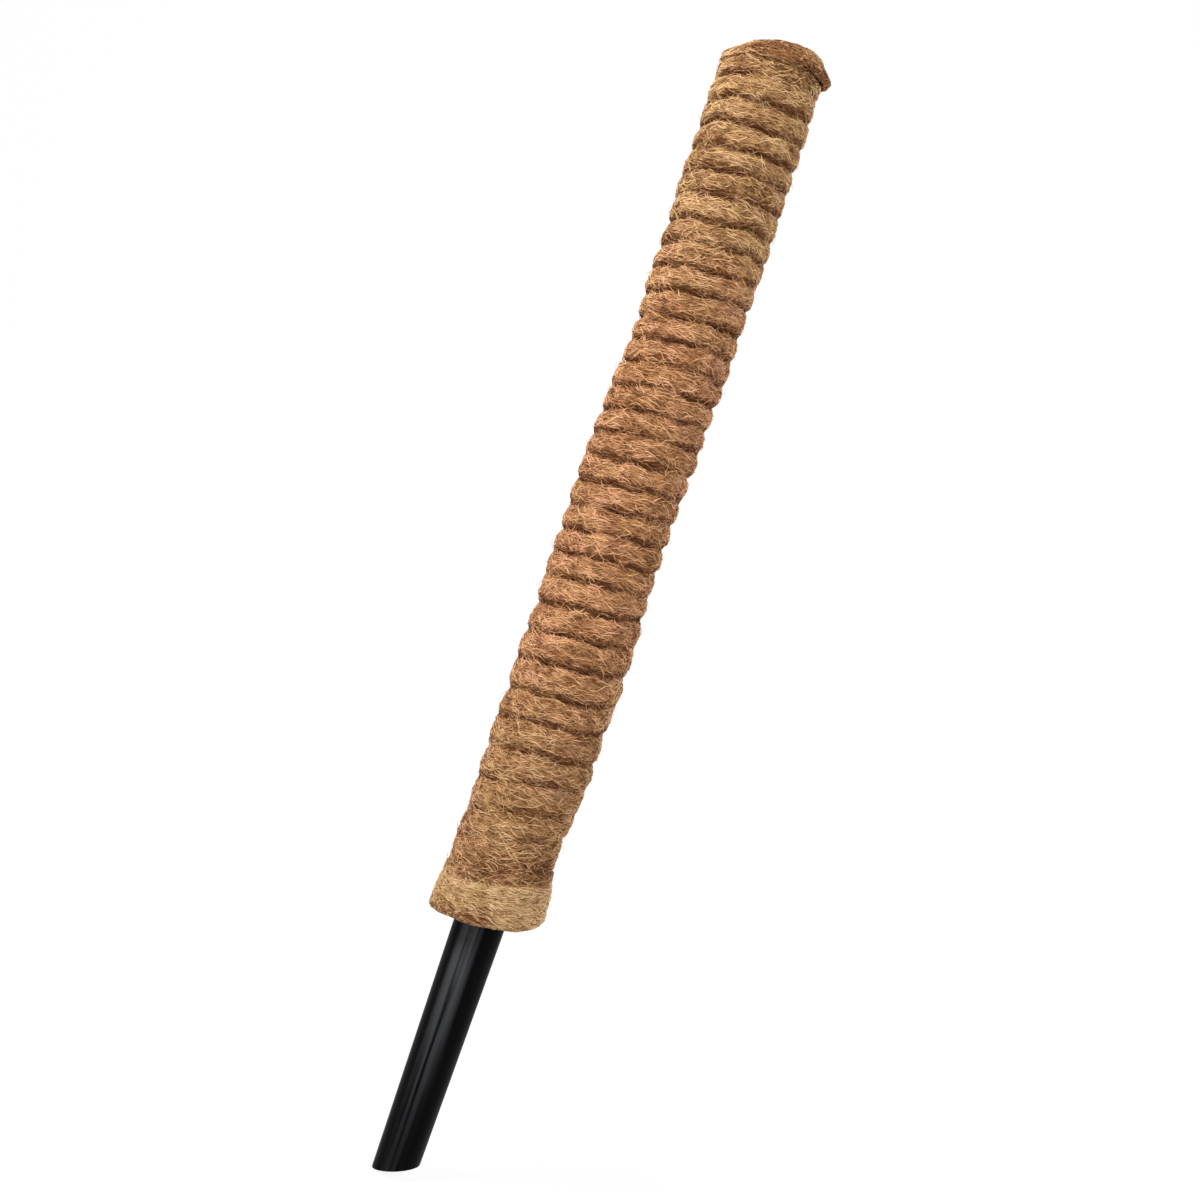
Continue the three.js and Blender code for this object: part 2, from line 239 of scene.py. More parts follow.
class Field:
    """A socket of a node tree that takes part in sums, so that a formula reads as one."""

    def __init__(self, tree, socket):
        self.tree = tree
        self.socket = socket

    def math(self, operation, *others):
        """This field and others through one Math node."""
        node = self.tree.nodes.new("ShaderNodeMath")
        node.operation = operation
        for entry, value in zip(node.inputs, (self, *others)):
            feed(self.tree, entry, value)
        return Field(self.tree, node.outputs[0])

    def __add__(self, other):
        return self.math("ADD", other)

    def __sub__(self, other):
        return self.math("SUBTRACT", other)

    def __mul__(self, other):
        return self.math("MULTIPLY", other)

    def __truediv__(self, other):
        return self.math("DIVIDE", other)

    def __pow__(self, other):
        return self.math("POWER", other)

    def opposite(self):
        """1 less this value."""
        return self * -1.0 + 1.0

    def vector_math(self, operation, *others, scale=None):
        """This vector and others through one Vector Math node."""
        node = self.tree.nodes.new("ShaderNodeVectorMath")
        node.operation = operation
        for entry, value in zip(node.inputs, (self, *others)):
            feed(self.tree, entry, value)
        if scale is not None:
            feed(self.tree, node.inputs["Scale"], scale)
        return Field(self.tree, node.outputs[0])

    def scaled(self, scale):
        """This vector made longer or shorter."""
        return self.vector_math("SCALE", scale=scale)

    def parts(self):
        """The three parts of a vector."""
        node = self.tree.nodes.new("ShaderNodeSeparateXYZ")
        feed(self.tree, node.inputs[0], self)
        return [Field(self.tree, part) for part in node.outputs]

    def mapped(self, low, high, to_low=0.0, to_high=1.0, steps="LINEAR"):
        """This value moved from one range to another, clamped."""
        node = self.tree.nodes.new("ShaderNodeMapRange")
        node.interpolation_type = steps
        for entry, value in zip(node.inputs, (self, low, high, to_low, to_high)):
            feed(self.tree, entry, value)
        return Field(self.tree, node.outputs[0])

    def smooth(self, low, high, to_low=0.0, to_high=1.0):
        """Like mapped, with soft ends."""
        return self.mapped(low, high, to_low, to_high, "SMOOTHSTEP")


def add_node(tree, kind, inputs=None, **settings):
    """A new node with its settings and its inputs, by name or number."""
    node = tree.nodes.new(kind)
    for name, value in settings.items():
        setattr(node, name, value)
    for name, value in (inputs or {}).items():
        feed(tree, node.inputs[name], value)
    return node


def out_of(tree, node, name=0):
    """One output of a node as a field."""
    return Field(tree, node.outputs[name])


def combine(tree, x, y, z):
    """A vector from three fields or numbers."""
    return out_of(tree, add_node(tree, "ShaderNodeCombineXYZ", {0: x, 1: y, 2: z}))


def noise_of(tree, vector, scale, detail=2.0, output="Fac"):
    """Soft noise over a vector, about one half on average."""
    inputs = {"Vector": vector, "Scale": scale, "Detail": detail}
    return out_of(tree, add_node(tree, "ShaderNodeTexNoise", inputs), output)


def centred(tree, vector, scale, size, detail):
    """Soft noise over a vector, about zero on average and up to about half the size either way."""
    return (noise_of(tree, vector, scale, detail) - 0.5) * size


def mix_colours(tree, share, first, second, blend="MIX"):
    """Two colours mixed by a share."""
    node = add_node(tree, "ShaderNodeMix", data_type="RGBA", blend_type=blend)
    feed(tree, node.inputs[0], share)
    for entry, value in ((node.inputs[6], first), (node.inputs[7], second)):
        feed(tree, entry, value if isinstance(value, Field) else (*value, 1.0))
    return Field(tree, node.outputs[2])


# Geometry trees


def new_geometry_tree(name, **inputs):
    """A Geometry Nodes tree with its named inputs, and those inputs as fields."""
    tree = bpy.data.node_groups.new(name, "GeometryNodeTree")
    tree.interface.new_socket("Geometry", in_out="INPUT", socket_type="NodeSocketGeometry")
    for title, kind in inputs.items():
        title = title.capitalize().replace("_", " ")
        tree.interface.new_socket(title, in_out="INPUT", socket_type="NodeSocket" + kind)
    tree.interface.new_socket("Geometry", in_out="OUTPUT", socket_type="NodeSocketGeometry")
    source = tree.nodes.new("NodeGroupInput")
    return tree, {socket.name: Field(tree, socket) for socket in source.outputs if socket.name}


def close_tree(tree, geometry, material):
    """Ends a tree in Realize Instances and Set Material."""
    real = add_node(tree, "GeometryNodeRealizeInstances", {"Geometry": geometry})
    smooth = add_node(tree, "GeometryNodeSetShadeSmooth", {"Geometry": out_of(tree, real)})
    dressed = add_node(
        tree, "GeometryNodeSetMaterial", {"Geometry": out_of(tree, smooth), "Material": material}
    )
    end = tree.nodes.new("NodeGroupOutput")
    tree.links.new(dressed.outputs[0], end.inputs[0])


def store(tree, geometry, name, value, kind="FLOAT", domain="POINT"):
    """The geometry with a named attribute."""
    node = add_node(
        tree, "GeometryNodeStoreNamedAttribute",
        {"Geometry": geometry, "Name": name, "Value": value}, data_type=kind, domain=domain,
    )
    return out_of(tree, node)


def store_map(tree, geometry, across, up):
    """The geometry with the map that its colours are baked through."""
    return store(tree, geometry, BAKE_MAP, combine(tree, across, up, 0.0), "FLOAT2", "CORNER")


def stored(tree, name):
    """A named attribute as a field."""
    node = add_node(tree, "GeometryNodeInputNamedAttribute", {"Name": name}, data_type="FLOAT")
    return out_of(tree, node)


def chance(tree, low, high, seed):
    """A random number for each element."""
    node = add_node(tree, "FunctionNodeRandomValue", data_type="FLOAT")
    for entry, value in ((node.inputs[2], low), (node.inputs[3], high), (node.inputs["Seed"], seed)):
        feed(tree, entry, value)
    return Field(tree, node.outputs[1])


def straight_line(tree, start, end, count):
    """A straight curve with a number of points."""
    line = add_node(tree, "GeometryNodeCurvePrimitiveLine", {"Start": start, "End": end})
    return out_of(
        tree, add_node(tree, "GeometryNodeResampleCurve", {"Curve": out_of(tree, line), "Count": count})
    )


def circle(tree, sides, radius):
    """A round section for a tube."""
    inputs = {"Resolution": sides, "Radius": radius}
    return out_of(tree, add_node(tree, "GeometryNodeCurvePrimitiveCircle", inputs))


def moved_to(tree, geometry, x, y, z):
    """The geometry with its points at a place that is given in millimetres."""
    place = combine(tree, x * MM, y * MM, z * MM)
    node = add_node(tree, "GeometryNodeSetPosition", {"Geometry": geometry, "Position": place})
    return out_of(tree, node)


def run_tree(tree, name, values, base=None):
    """The tree's result as a plain mesh object at the origin."""
    holder = bpy.data.objects.new(name + "_source", base or bpy.data.meshes.new(name + "_source"))
    bpy.context.scene.collection.objects.link(holder)
    modifier = holder.modifiers.new(name, "NODES")
    modifier.node_group = tree
    for item in tree.interface.items_tree:
        if item.item_type == "SOCKET" and item.in_out == "INPUT" and item.name in values:
            modifier[item.identifier] = values[item.name]
    depsgraph = bpy.context.evaluated_depsgraph_get()
    mesh = bpy.data.meshes.new_from_object(
        holder.evaluated_get(depsgraph), preserve_all_data_layers=True, depsgraph=depsgraph
    )
    mesh.name = name
    bpy.data.objects.remove(holder)
    if not mesh.polygons:
        raise RuntimeError(f"{name} has no faces")
    return put_in_scene(name, mesh)


def put_in_scene(name, mesh):
    """A new object for a finished mesh."""
    piece = bpy.data.objects.new(name, mesh)
    bpy.context.scene.collection.objects.link(piece)
    return piece


def settle(piece, slot, *nodes):
    """Ties a finished piece to the frame and hides the CAD nodes that it stands for. The slot, for its
    finish, is not used.
    """
    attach(piece, BODY)
    if nodes:
        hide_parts(*nodes)


# The winding's formula

# Noise that strays a turn from its spiral: scale, size as a share of the wander, and detail.
SLOW_STRAY = (0.045, 2.0, 1.0)
QUICK_STRAY = (0.16, 0.9, 0.0)
UNEVEN_SCALE = 0.09  # scale of the noise that makes the groove's depth come and go
UNEVEN_DEPTH = (0.3, 0.62, 0.36, 1.2)  # from and to what noise, and the shares of the depth there
RUN_IN, RUN_OUT = 0.8, 0.6  # turns over which the groove begins and ends
LOWER_RIBS = (0.5, 6.0, 0.45, 1.0)  # from and to what turn, and the shares of the depth there


def turns_at(z):
    """How many turns the winding has made at a height."""
    wound = winding()
    turning = wound.start + wound.lower_turns * wound.lower_pitch
    end = turning + wound.upper_turns * wound.upper_pitch
    lower = z.mapped(wound.start, turning, 0.0, wound.lower_turns)
    upper = z.mapped(turning, end, 0.0, wound.upper_turns)
    below = z.math("MINIMUM", wound.start) - wound.start
    return lower + upper + below / wound.lower_pitch


def height_at(turns):
    """The winding's height after a number of turns."""
    wound = winding()
    lower = turns.math("MINIMUM", wound.lower_turns) * wound.lower_pitch
    upper = (turns - wound.lower_turns).math("MAXIMUM", 0.0) * wound.upper_pitch
    return lower + upper + wound.start


def across_and_back(angle, radius):
    """The x and y of a point at an angle and a radius, as fields."""
    return angle.math("COSINE") * radius, angle.math("SINE") * radius


def on_the_sleeve(tree, angle, z):
    """A point of the plain sleeve at an angle and a height, as a vector."""
    return combine(tree, *across_and_back(angle, sizes().sleeve_radius), z)


def strays(tree, angle, z):
    """How far the winding strays at a place, in turns."""
    place = on_the_sleeve(tree, angle, z)
    both = centred(tree, place, *SLOW_STRAY) + centred(tree, place, *QUICK_STRAY)
    return both * winding().wander


def draws_in(tree, angle, z, turns):
    """How deep the line draws the sleeve in at a place."""
    wound = winding()
    total = wound.lower_turns + wound.upper_turns
    place = on_the_sleeve(tree, angle, z)
    uneven = noise_of(tree, place, UNEVEN_SCALE, detail=1.0).smooth(*UNEVEN_DEPTH)
    ends = turns.smooth(0.0, RUN_IN) * turns.smooth(total - RUN_OUT, total, 1.0, 0.0)
    return uneven * ends * turns.smooth(*LOWER_RIBS) * wound.groove_depth


def slanted(x, z):
    """A height moved with the slant of the pole's lower end, as a field."""
    size = sizes()
    fade = z.smooth(size.hem_height, size.hem_height + size.slant_fade, 1.0, 0.0)
    return z + x * fade * math.tan(size.slant)


# The sleeve's form

# Swells of the sleeve: height, and how much wider or narrower it is there.
SWELLS = ((89.0, 0.9), (60.0, 0.5), (164.0, 0.4), (204.0, -0.4), (296.0, -0.5))
SWELL_HEIGHT = 13.0
# The pole isn't quite straight: its offset at the hem, and how that changes between two heights.
BOW_START = 0.9
BOWS = (
    (-2.0, 17.0, -0.7), (25.0, 36.0, 0.7), (98.0, 120.0, -1.0), (170.0, 198.0, 1.2),
    (205.0, 216.0, -0.6), (238.0, 250.0, -0.8), (270.0, 296.0, -0.4),
)
# Darker bands of the sleeve: height, half width and strength.
DARK_BANDS = ((155.0, 7.0, 0.08), (255.0, 9.0, 0.24))
WAIST_SHADE_BAND = (17.5, 4.5, 0.55)  # painted shade just above the hem
CAP_SHADE_BAND = (299.0, 6.0, 0.7)  # painted shade under the cap
# Those two shades are darker on the lip's side, which faces away from the key lamp: from and to where
# across the pole, and their shares there.
WAIST_SHADE = (-14.0, 4.0, 0.4, 1.0)
CAP_SHADE = (-18.0, 4.0, 0.15, 1.0)

RIB_SKEW = 0.82  # below 1, a rib is fullest under its middle
RIB_ROUNDNESS = 2.2  # power of a rib's section: 2 is round, more is fuller
SHADED_TO, SHADED_FROM = 0.36, 0.86  # shares of a rib up to which, and from which, it gets painted shade next to the grooves
CREST_INSET = 0.2  # how far the ribs stay inside the sleeve's radius
CREST_LUMPS = (0.05, 1.2, 1.0)  # noise of the ribs' height: scale, size and detail
TUFTS = (0.42, 1.5, 3.0)  # noise of the matting's tufts: scale, size and detail
FLARE_HEIGHT = 6.0  # over which the sleeve widens to the hem
NECK_FROM, NECK_TO = 0.2, 1.2  # heights over the hem between which the sleeve comes out of it
SHOULDER_HEIGHT, SHOULDER_DRAW = 3.5, 1.6  # of the sleeve's rounded upper edge
SINK_FROM, SINK_TO = 9.0, 15.0  # across the pole, where the upper edge starts and ends to sink
SINK_HEIGHT = 15.0  # of the part of the sleeve that sinks with it
SEAM_WELD = 0.02  # joins the sleeve's edges at the back, and its skin to its bore
SKIN_MAP, BORE_MAP = 0.96, 0.03  # shares of the bake map's height for the sleeve's skin and bore


def ease(share):
    """A share from 0 to 1 with soft ends."""
    share = min(max(share, 0.0), 1.0)
    return share * share * (3 - 2 * share)


def bow_at(z):
    """How far the coir strays from the pipe's axis at a height, as a field."""
    offset = z.math("MULTIPLY_ADD", 0.0, BOW_START)
    for low, high, change in BOWS:
        offset = offset + z.smooth(low, high, 0.0, change)
    return offset


def bow_here(z):
    """How far the coir strays from the pipe's axis at a height, as a number."""
    return BOW_START + sum(change * ease((z - low) / (high - low)) for low, high, change in BOWS)


def sunk_here(x):
    """How far the coir's upper edge sinks at a place across the pole, as a number."""
    return sizes().top_sink * ease((-x - SINK_FROM) / (SINK_TO - SINK_FROM))


def band_at(z, shape):
    """A soft band at a height, as a field: its height, half width and strength."""
    height, half_width, strength = shape
    return (((z - height) / half_width) ** 2.0 * -1.0).math("EXPONENT") * strength


def crest_at(tree, angle, z):
    """The sleeve's radius between the grooves, at an angle and a height."""
    size = sizes()
    waist_top = size.hem_height + size.waist_taper
    full = size.sleeve_radius - CREST_INSET
    crest = z.smooth(size.hem_height, waist_top, size.waist_radius, full)
    for height, change in SWELLS:
        crest = crest + band_at(z, (height, SWELL_HEIGHT, change))
    crest = crest + z.smooth(size.hem_height, size.hem_height + FLARE_HEIGHT, size.waist_flare, 0.0)
    return crest + centred(tree, on_the_sleeve(tree, angle, z), *CREST_LUMPS)


def wrapping_grid(tree, columns, rows):
    """A grid to wrap round the pole, the share of the way round and up, and the angle there."""
    grid = add_node(
        tree, "GeometryNodeMeshGrid",
        {"Size X": 1.0, "Size Y": 1.0, "Vertices X": columns + 1, "Vertices Y": rows + 1},
    )
    across, up, _ = out_of(tree, grid, "UV Map").parts()
    return out_of(tree, grid), across, up, across * math.tau + BACK


def sleeve_tree():
    """The outer layer: a grid wrapped round the pole, drawn in along the winding."""
    size = sizes()
    tree, given = new_geometry_tree("Ribbed coir sleeve", columns="Int", rows="Int", material="Material")
    columns, rows = given["Columns"], given["Rows"]
    bottom, top = size.hem_floor + GAP, size.coir_top
    grid, across, up, angle = wrapping_grid(tree, columns, rows)
    row = up * rows
    z = (row - 1.0).mapped(0.0, rows - 2.0, bottom, top)
    shoulder = z.smooth(top - SHOULDER_HEIGHT, top) ** 2.0 * SHOULDER_DRAW
    crest = crest_at(tree, angle, z) - shoulder

    turns = turns_at(z)
    cycle = (turns - across + strays(tree, angle, z)).math("FRACT")
    from_middle = (cycle ** RIB_SKEW * 2.0 - 1.0).math("ABSOLUTE")
    pillow = (from_middle ** RIB_ROUNDNESS).opposite().math("MAXIMUM", 0.0).math("SQRT")
    depth = draws_in(tree, angle, z, turns)
    tufts = centred(tree, on_the_sleeve(tree, angle, z), *TUFTS)
    skin = crest - pillow.opposite() * depth + tufts
    above_hem = z.smooth(size.hem_height + NECK_FROM, size.hem_height + NECK_TO)
    skin = skin * above_hem + above_hem.opposite() * size.neck_radius
    inside = row.math("LESS_THAN", 0.5) + row.math("GREATER_THAN", rows - 0.5)
    outside = inside.opposite()
    radius = skin * outside + inside * size.sleeve_bore

    x, y = across_and_back(angle, radius)
    bowed = x + bow_at(z) * outside * above_hem
    sunk = x.smooth(-SINK_TO, -SINK_FROM, size.top_sink, 0.0) * z.smooth(top - SINK_HEIGHT, top)
    outer = moved_to(tree, grid, bowed, y, slanted(x, z) - sunk * outside)
    # Painted shade: each rib is darker next to its grooves, the more the deeper they are, with bands of
    # painted shade over the hem and under the cap; the darker bands are darker tone.
    shaded = cycle.smooth(0.0, SHADED_TO, 1.0, 0.0) + cycle.smooth(SHADED_FROM, 1.0)
    crease = shaded * (depth / winding().groove_depth)
    crease = crease + band_at(z, WAIST_SHADE_BAND) * x.smooth(*WAIST_SHADE)
    crease = crease + band_at(z, CAP_SHADE_BAND) * x.smooth(*CAP_SHADE)
    for shape in DARK_BANDS:
        crease = crease + band_at(z, shape)
    outer = store(tree, outer, "crease", crease)
    outer = store(tree, outer, "skin", outside)
    outer = store_map(tree, outer, across, up * SKIN_MAP + (1.0 - SKIN_MAP))

    wall, across, up, angle = wrapping_grid(tree, columns, 1)
    x, y = across_and_back(angle, size.sleeve_bore)
    bore = moved_to(tree, wall, x, y, slanted(x, up.mapped(0.0, 1.0, bottom, top)))
    bore = out_of(tree, add_node(tree, "GeometryNodeFlipFaces", {"Mesh": bore}))
    bore = store_map(tree, bore, across, up * BORE_MAP)
    both = add_node(tree, "GeometryNodeJoinGeometry")
    tree.links.new(bore.socket, both.inputs[0])
    tree.links.new(outer.socket, both.inputs[0])
    merge = {"Geometry": out_of(tree, both), "Distance": SEAM_WELD * MM}
    welded = add_node(tree, "GeometryNodeMergeByDistance", merge)
    close_tree(tree, out_of(tree, welded), given["Material"])
    return tree


# Fibres

FIBRE_POINTS = 6
FIBRE_SIDES = 3
FIBRE_LENGTHS = (0.45, 1.5)  # the shortest and the longest, as shares of the usual length
NEIGHBOUR_STEP = 0.37  # how far one fibre's noise lies from the next one's
SWAY_SCALE, SWAY = 0.24, 5.0  # how quickly a fibre sways from side to side, and how far
WEAVE = (0.3, 1.4, 0.0)  # noise of its way up and down among the others: scale, size and detail
END_DIVE = 0.9  # how far its ends dive in, as a share of the lift
THINNEST, THICKER = 0.55, 0.8  # share of the thickness that the thinnest has, and what others add
TIP_TAPER = 0.6  # share of the thickness that is lost at its tips
MAP_MARGIN = 0.1  # round a fibre's cell of the bake map


def fibre_tree():
    """Loose fibres that lie on a coir surface, cross each other and stray from it."""
    tree, given = new_geometry_tree(
        "Coir fibres", density="Float", length="Float", thickness="Float", spread="Float",
        lift="Float", stray="Float", grain_axis="Vector", map_side="Float", seed="Int",
        material="Material",
    )
    surface = given["Geometry"]
    seed = given["Seed"]
    spots = add_node(
        tree, "GeometryNodeDistributePointsOnFaces",
        {"Mesh": surface, "Selection": stored(tree, "skin").math("GREATER_THAN", 0.5),
         "Density": given["Density"], "Seed": seed},
    )
    normal = out_of(tree, spots, "Normal")
    around = given["Grain axis"].vector_math("CROSS_PRODUCT", normal).vector_math("NORMALIZE")
    aside = normal.vector_math("CROSS_PRODUCT", around)
    turn = chance(tree, -0.5, 0.5, seed + 1.0) + chance(tree, -0.5, 0.5, seed + 2.0)
    turn = turn * given["Spread"]
    direction = around.scaled(turn.math("COSINE")).vector_math("ADD", aside.scaled(turn.math("SINE")))
    points = store(tree, out_of(tree, spots), "tint", chance(tree, 0.0, 1.0, seed + 3.0))
    points = store(tree, points, "rise", chance(tree, 0.0, 1.0, seed + 4.0))
    points = store(tree, points, "number", out_of(tree, add_node(tree, "GeometryNodeInputIndex")))
    long = given["Length"] * chance(tree, *FIBRE_LENGTHS, seed + 5.0)
    line = straight_line(tree, (-0.5, 0.0, 0.0), (0.5, 0.0, 0.0), FIBRE_POINTS)
    facing = add_node(
        tree, "FunctionNodeAxesToRotation", {0: normal, 1: direction},
        primary_axis="Z", secondary_axis="X",
    )
    copies = add_node(
        tree, "GeometryNodeInstanceOnPoints",
        {"Points": points, "Instance": line, "Rotation": out_of(tree, facing),
         "Scale": combine(tree, long, long, long)},
    )
    strands = add_node(tree, "GeometryNodeRealizeInstances", {"Geometry": out_of(tree, copies)})

    place = out_of(tree, add_node(tree, "GeometryNodeInputPosition"))
    own = stored(tree, "number") * NEIGHBOUR_STEP
    shifted = place.scaled(1 / MM).vector_math("ADD", combine(tree, own, own, own))
    sway = noise_of(tree, shifted, SWAY_SCALE, detail=1.0, output="Color")
    sway = sway.vector_math("SUBTRACT", (0.5, 0.5, 0.5)).scaled(SWAY * MM)
    swayed = add_node(
        tree, "GeometryNodeSetPosition", {"Geometry": out_of(tree, strands), "Offset": sway}
    )
    share = out_of(tree, add_node(tree, "GeometryNodeSplineParameter"))
    near = add_node(tree, "GeometryNodeProximity", {0: surface}, target_element="FACES")
    upright = add_node(
        tree, "GeometryNodeSampleNearestSurface",
        {"Mesh": surface, "Value": out_of(tree, add_node(tree, "GeometryNodeInputNormal"))},
        data_type="FLOAT_VECTOR",
    )
    # Each fibre takes the painted shade and darker tone of the surface under it.
    shade = add_node(
        tree, "GeometryNodeSampleNearestSurface", {"Mesh": surface, "Value": stored(tree, "crease")}
    )
    rise = stored(tree, "rise")
    from_middle = (share * 2.0 - 1.0).math("ABSOLUTE")
    weave = centred(tree, shifted, *WEAVE)
    lift = (rise + weave - from_middle ** 3.0 * END_DIVE) * given["Lift"]
    lift = lift + share ** 2.0 * rise ** 2.0 * given["Stray"]
    laid = out_of(tree, near).vector_math("ADD", out_of(tree, upright).scaled(lift))
    laid = add_node(
        tree, "GeometryNodeSetPosition", {"Geometry": out_of(tree, swayed), "Position": laid}
    )
    strands = store(tree, out_of(tree, laid), "crease", out_of(tree, shade))
    strands = store(tree, strands, "along", share)
    taper = from_middle ** 4.0 * -TIP_TAPER + 1.0
    thick = given["Thickness"] * (stored(tree, "tint") * THICKER + THINNEST) * taper
    section = store(tree, circle(tree, FIBRE_SIDES, 1.0), "round", share)
    solid = add_node(
        tree, "GeometryNodeCurveToMesh",
        {"Curve": strands, "Profile Curve": section, "Scale": thick, "Fill Caps": True},
    )
    side = given["Map side"]
    count = stored(tree, "number")
    cell = 1.0 - 2 * MAP_MARGIN
    map_across = (count.math("MODULO", side) + stored(tree, "along") * cell + MAP_MARGIN) / side
    map_up = ((count / side).math("FLOOR") + stored(tree, "round") * cell + MAP_MARGIN) / side
    close_tree(tree, store_map(tree, out_of(tree, solid), map_across, map_up), given["Material"])
    return tree


def skin_area(mesh):
    """The area that fibres may grow on, in square metres."""
    skin = mesh.attributes["skin"].data
    return sum(
        face.area for face in mesh.polygons if all(skin[corner].value > 0.5 for corner in face.vertices)
    )


def grow_fibres(mesh, name, count, seed, spread=0.9, lift=0.45, stray=0.0,
                fibre_length=None, thickness=None, grain_axis=(0.0, 0.0, 1.0)):
    """A piece of fibres over a coir surface."""
    look = fibres()
    tree = bpy.data.node_groups.get("Coir fibres") or fibre_tree()
    faces = 2 * FIBRE_SIDES * (FIBRE_POINTS - 1) + 2 * (FIBRE_SIDES - 2)
    if count * faces > MOST_FACES:
        raise RuntimeError(f"{name} would have {count} fibres, and a piece holds {MOST_FACES // faces}")
    values = {
        "Density": count / skin_area(mesh),
        "Length": (fibre_length or look.fibre_length) * MM,
        "Thickness": (thickness or look.thickness) * MM,
        "Spread": spread,
        "Lift": lift * MM,
        "Stray": stray * MM,
        "Grain axis": grain_axis,
        "Map side": float(math.ceil(math.sqrt(count * 1.1))),  # with cells to spare
        "Seed": look.seed + seed,
        "Material": shared_material("coir strands", coir_fibre_material),
    }
    settle(run_tree(tree, name, values, mesh), "coir")


def cover_seam(name, section, shade, skin, count, seed, lift):
    """Fibres over the line where two pieces meet, grown on a band that isn't kept."""
    band = spun_mesh(name, section, 120, closed=False)
    mark(band, "crease", shade)
    mark(band, "skin", skin)
    grow_fibres(band, name + "_fibres", count, seed, spread=0.9, lift=lift)
    bpy.data.meshes.remove(band)


# The line's form

LINE_TAIL = 0.12  # the part of a turn without line at each end of the groove
LINE_SIDES = 8
KNOT_SWELL = 0.15  # makes up for what rounding takes off a knot, and draws its strands together


def line_tree():
    """The line: one tube that follows the groove's floor from the first turn to the last."""
    wound = winding()
    total = wound.lower_turns + wound.upper_turns
    tree, given = new_geometry_tree("Binding line", points_per_turn="Int", material="Material")
    line = straight_line(tree, (0.0, 0.0, 0.0), (1.0, 0.0, 0.0), given["Points per turn"] * total)
    share = out_of(tree, add_node(tree, "GeometryNodeSplineParameter"))
    turns = share.mapped(0.0, 1.0, LINE_TAIL, total - LINE_TAIL)
    angle = turns * math.tau + BACK
    z = height_at(turns - strays(tree, angle, height_at(turns)))
    radius = crest_at(tree, angle, z) - draws_in(tree, angle, z, turns) - wound.line_radius
    x, y = across_and_back(angle, radius)
    route = moved_to(tree, line, x + bow_at(z), y, slanted(x, z))
    section = circle(tree, LINE_SIDES, wound.line_radius * MM)
    tube = add_node(
        tree, "GeometryNodeCurveToMesh",
        {"Curve": route, "Profile Curve": section, "Fill Caps": True},
    )
    close_tree(tree, out_of(tree, tube), given["Material"])
    return tree


# Materials

# Heights between which one tone of the coir turns into the next.
HEM_TO_LOWER = (11.0, 15.0)  # up from the slanted hem
LOWER_TO_MIDDLE = (50.0, 100.0)
MIDDLE_TO_UPPER = (190.0, 250.0)
HEM_PATCHES, TONE_PATCHES = 8.0, 60.0  # how far those heights shift from patch to patch
ROSY_TINT = (1.0, 0.965, 1.05)  # of the redder patches
STRAW_TINT = (1.45, 1.66, 2.05)  # of the palest strands
# Grey sides of the pipe: direction and half width in degrees, and how grey; the first, towards the
# camera, is a painted highlight, the others are worn.
HIGHLIT_AND_WORN_SIDES = ((-103.0, 32.0, 1.0), (25.0, 24.0, 0.6), (130.0, 34.0, 0.8))
HIGHLIGHT_AND_WEAR_ON_STAKE = (-0.085, -0.01, 0.2, 1.0)  # from and to what height, in metres, and the shares there


def new_material(name):
    """A material, its tree and its shader."""
    material = bpy.data.materials.new(name)
    material.use_nodes = True
    tree = material.node_tree
    return material, tree, tree.nodes["Principled BSDF"]


def shared_material(name, make):
    """A material by name, made when first asked for."""
    return bpy.data.materials.get(name) or make()


def coir_tone_group():
    """The coir's colour by height and by strand, darkened by painted shade and darker tone."""
    look = finishes()
    tree = bpy.data.node_groups.new("Coir tone", "ShaderNodeTree")
    for title, kind in (("Place", "Vector"), ("Strand", "Float"), ("Crease", "Float")):
        tree.interface.new_socket(title, in_out="INPUT", socket_type="NodeSocket" + kind)
    tree.interface.new_socket("Color", in_out="OUTPUT", socket_type="NodeSocketColor")
    source = tree.nodes.new("NodeGroupInput")
    place, strand, crease = [Field(tree, source.outputs[i]) for i in range(3)]
    place = place.scaled(1 / MM)
    x, _, z = place.parts()

    patch = noise_of(tree, place, 0.05) - 0.5
    from_hem = z - x * math.tan(sizes().slant) + patch * HEM_PATCHES
    height = z + patch * TONE_PATCHES
    tone = mix_colours(tree, from_hem.smooth(*HEM_TO_LOWER), look.hem_coir, look.lower_coir)
    tone = mix_colours(tree, height.smooth(*LOWER_TO_MIDDLE), tone, look.middle_coir)
    tone = mix_colours(tree, height.smooth(*MIDDLE_TO_UPPER), tone, look.upper_coir)
    rosy = mix_colours(tree, 1.0, tone, ROSY_TINT, "MULTIPLY")
    tone = mix_colours(tree, noise_of(tree, place, 0.11).smooth(0.42, 0.62), tone, rosy)

    mottle = noise_of(tree, place, 0.3, detail=3.0).smooth(0.3, 0.7)
    pale = strand * 0.82 + mottle * 0.34 + centred(tree, place, 0.07, 0.5, 1.0) - 0.08
    tone = mix_colours(tree, pale.smooth(0.05, 0.58, 0.85, 0.0), tone, look.dark_coir)
    straw = mix_colours(tree, 1.0, tone, STRAW_TINT, "MULTIPLY")
    tone = mix_colours(tree, pale.smooth(0.5, 0.95), tone, straw)

    # Painted shade: the third input mixes in dark and red coir, broken up by speckle and kept lighter on
    # pale strands.
    speckle = noise_of(tree, place, 0.8).smooth(0.35, 0.65, 0.5, 1.2)
    crease = crease * speckle * (strand * -0.45 + 1.25)
    deep = mix_colours(tree, strand.smooth(0.3, 0.95), look.dark_coir, look.red_coir)
    tone = mix_colours(tree, crease.smooth(0.05, 0.75, 0.0, 0.92), tone, deep)
    end = tree.nodes.new("NodeGroupOutput")
    tree.links.new(tone.socket, end.inputs[0])
    return tree


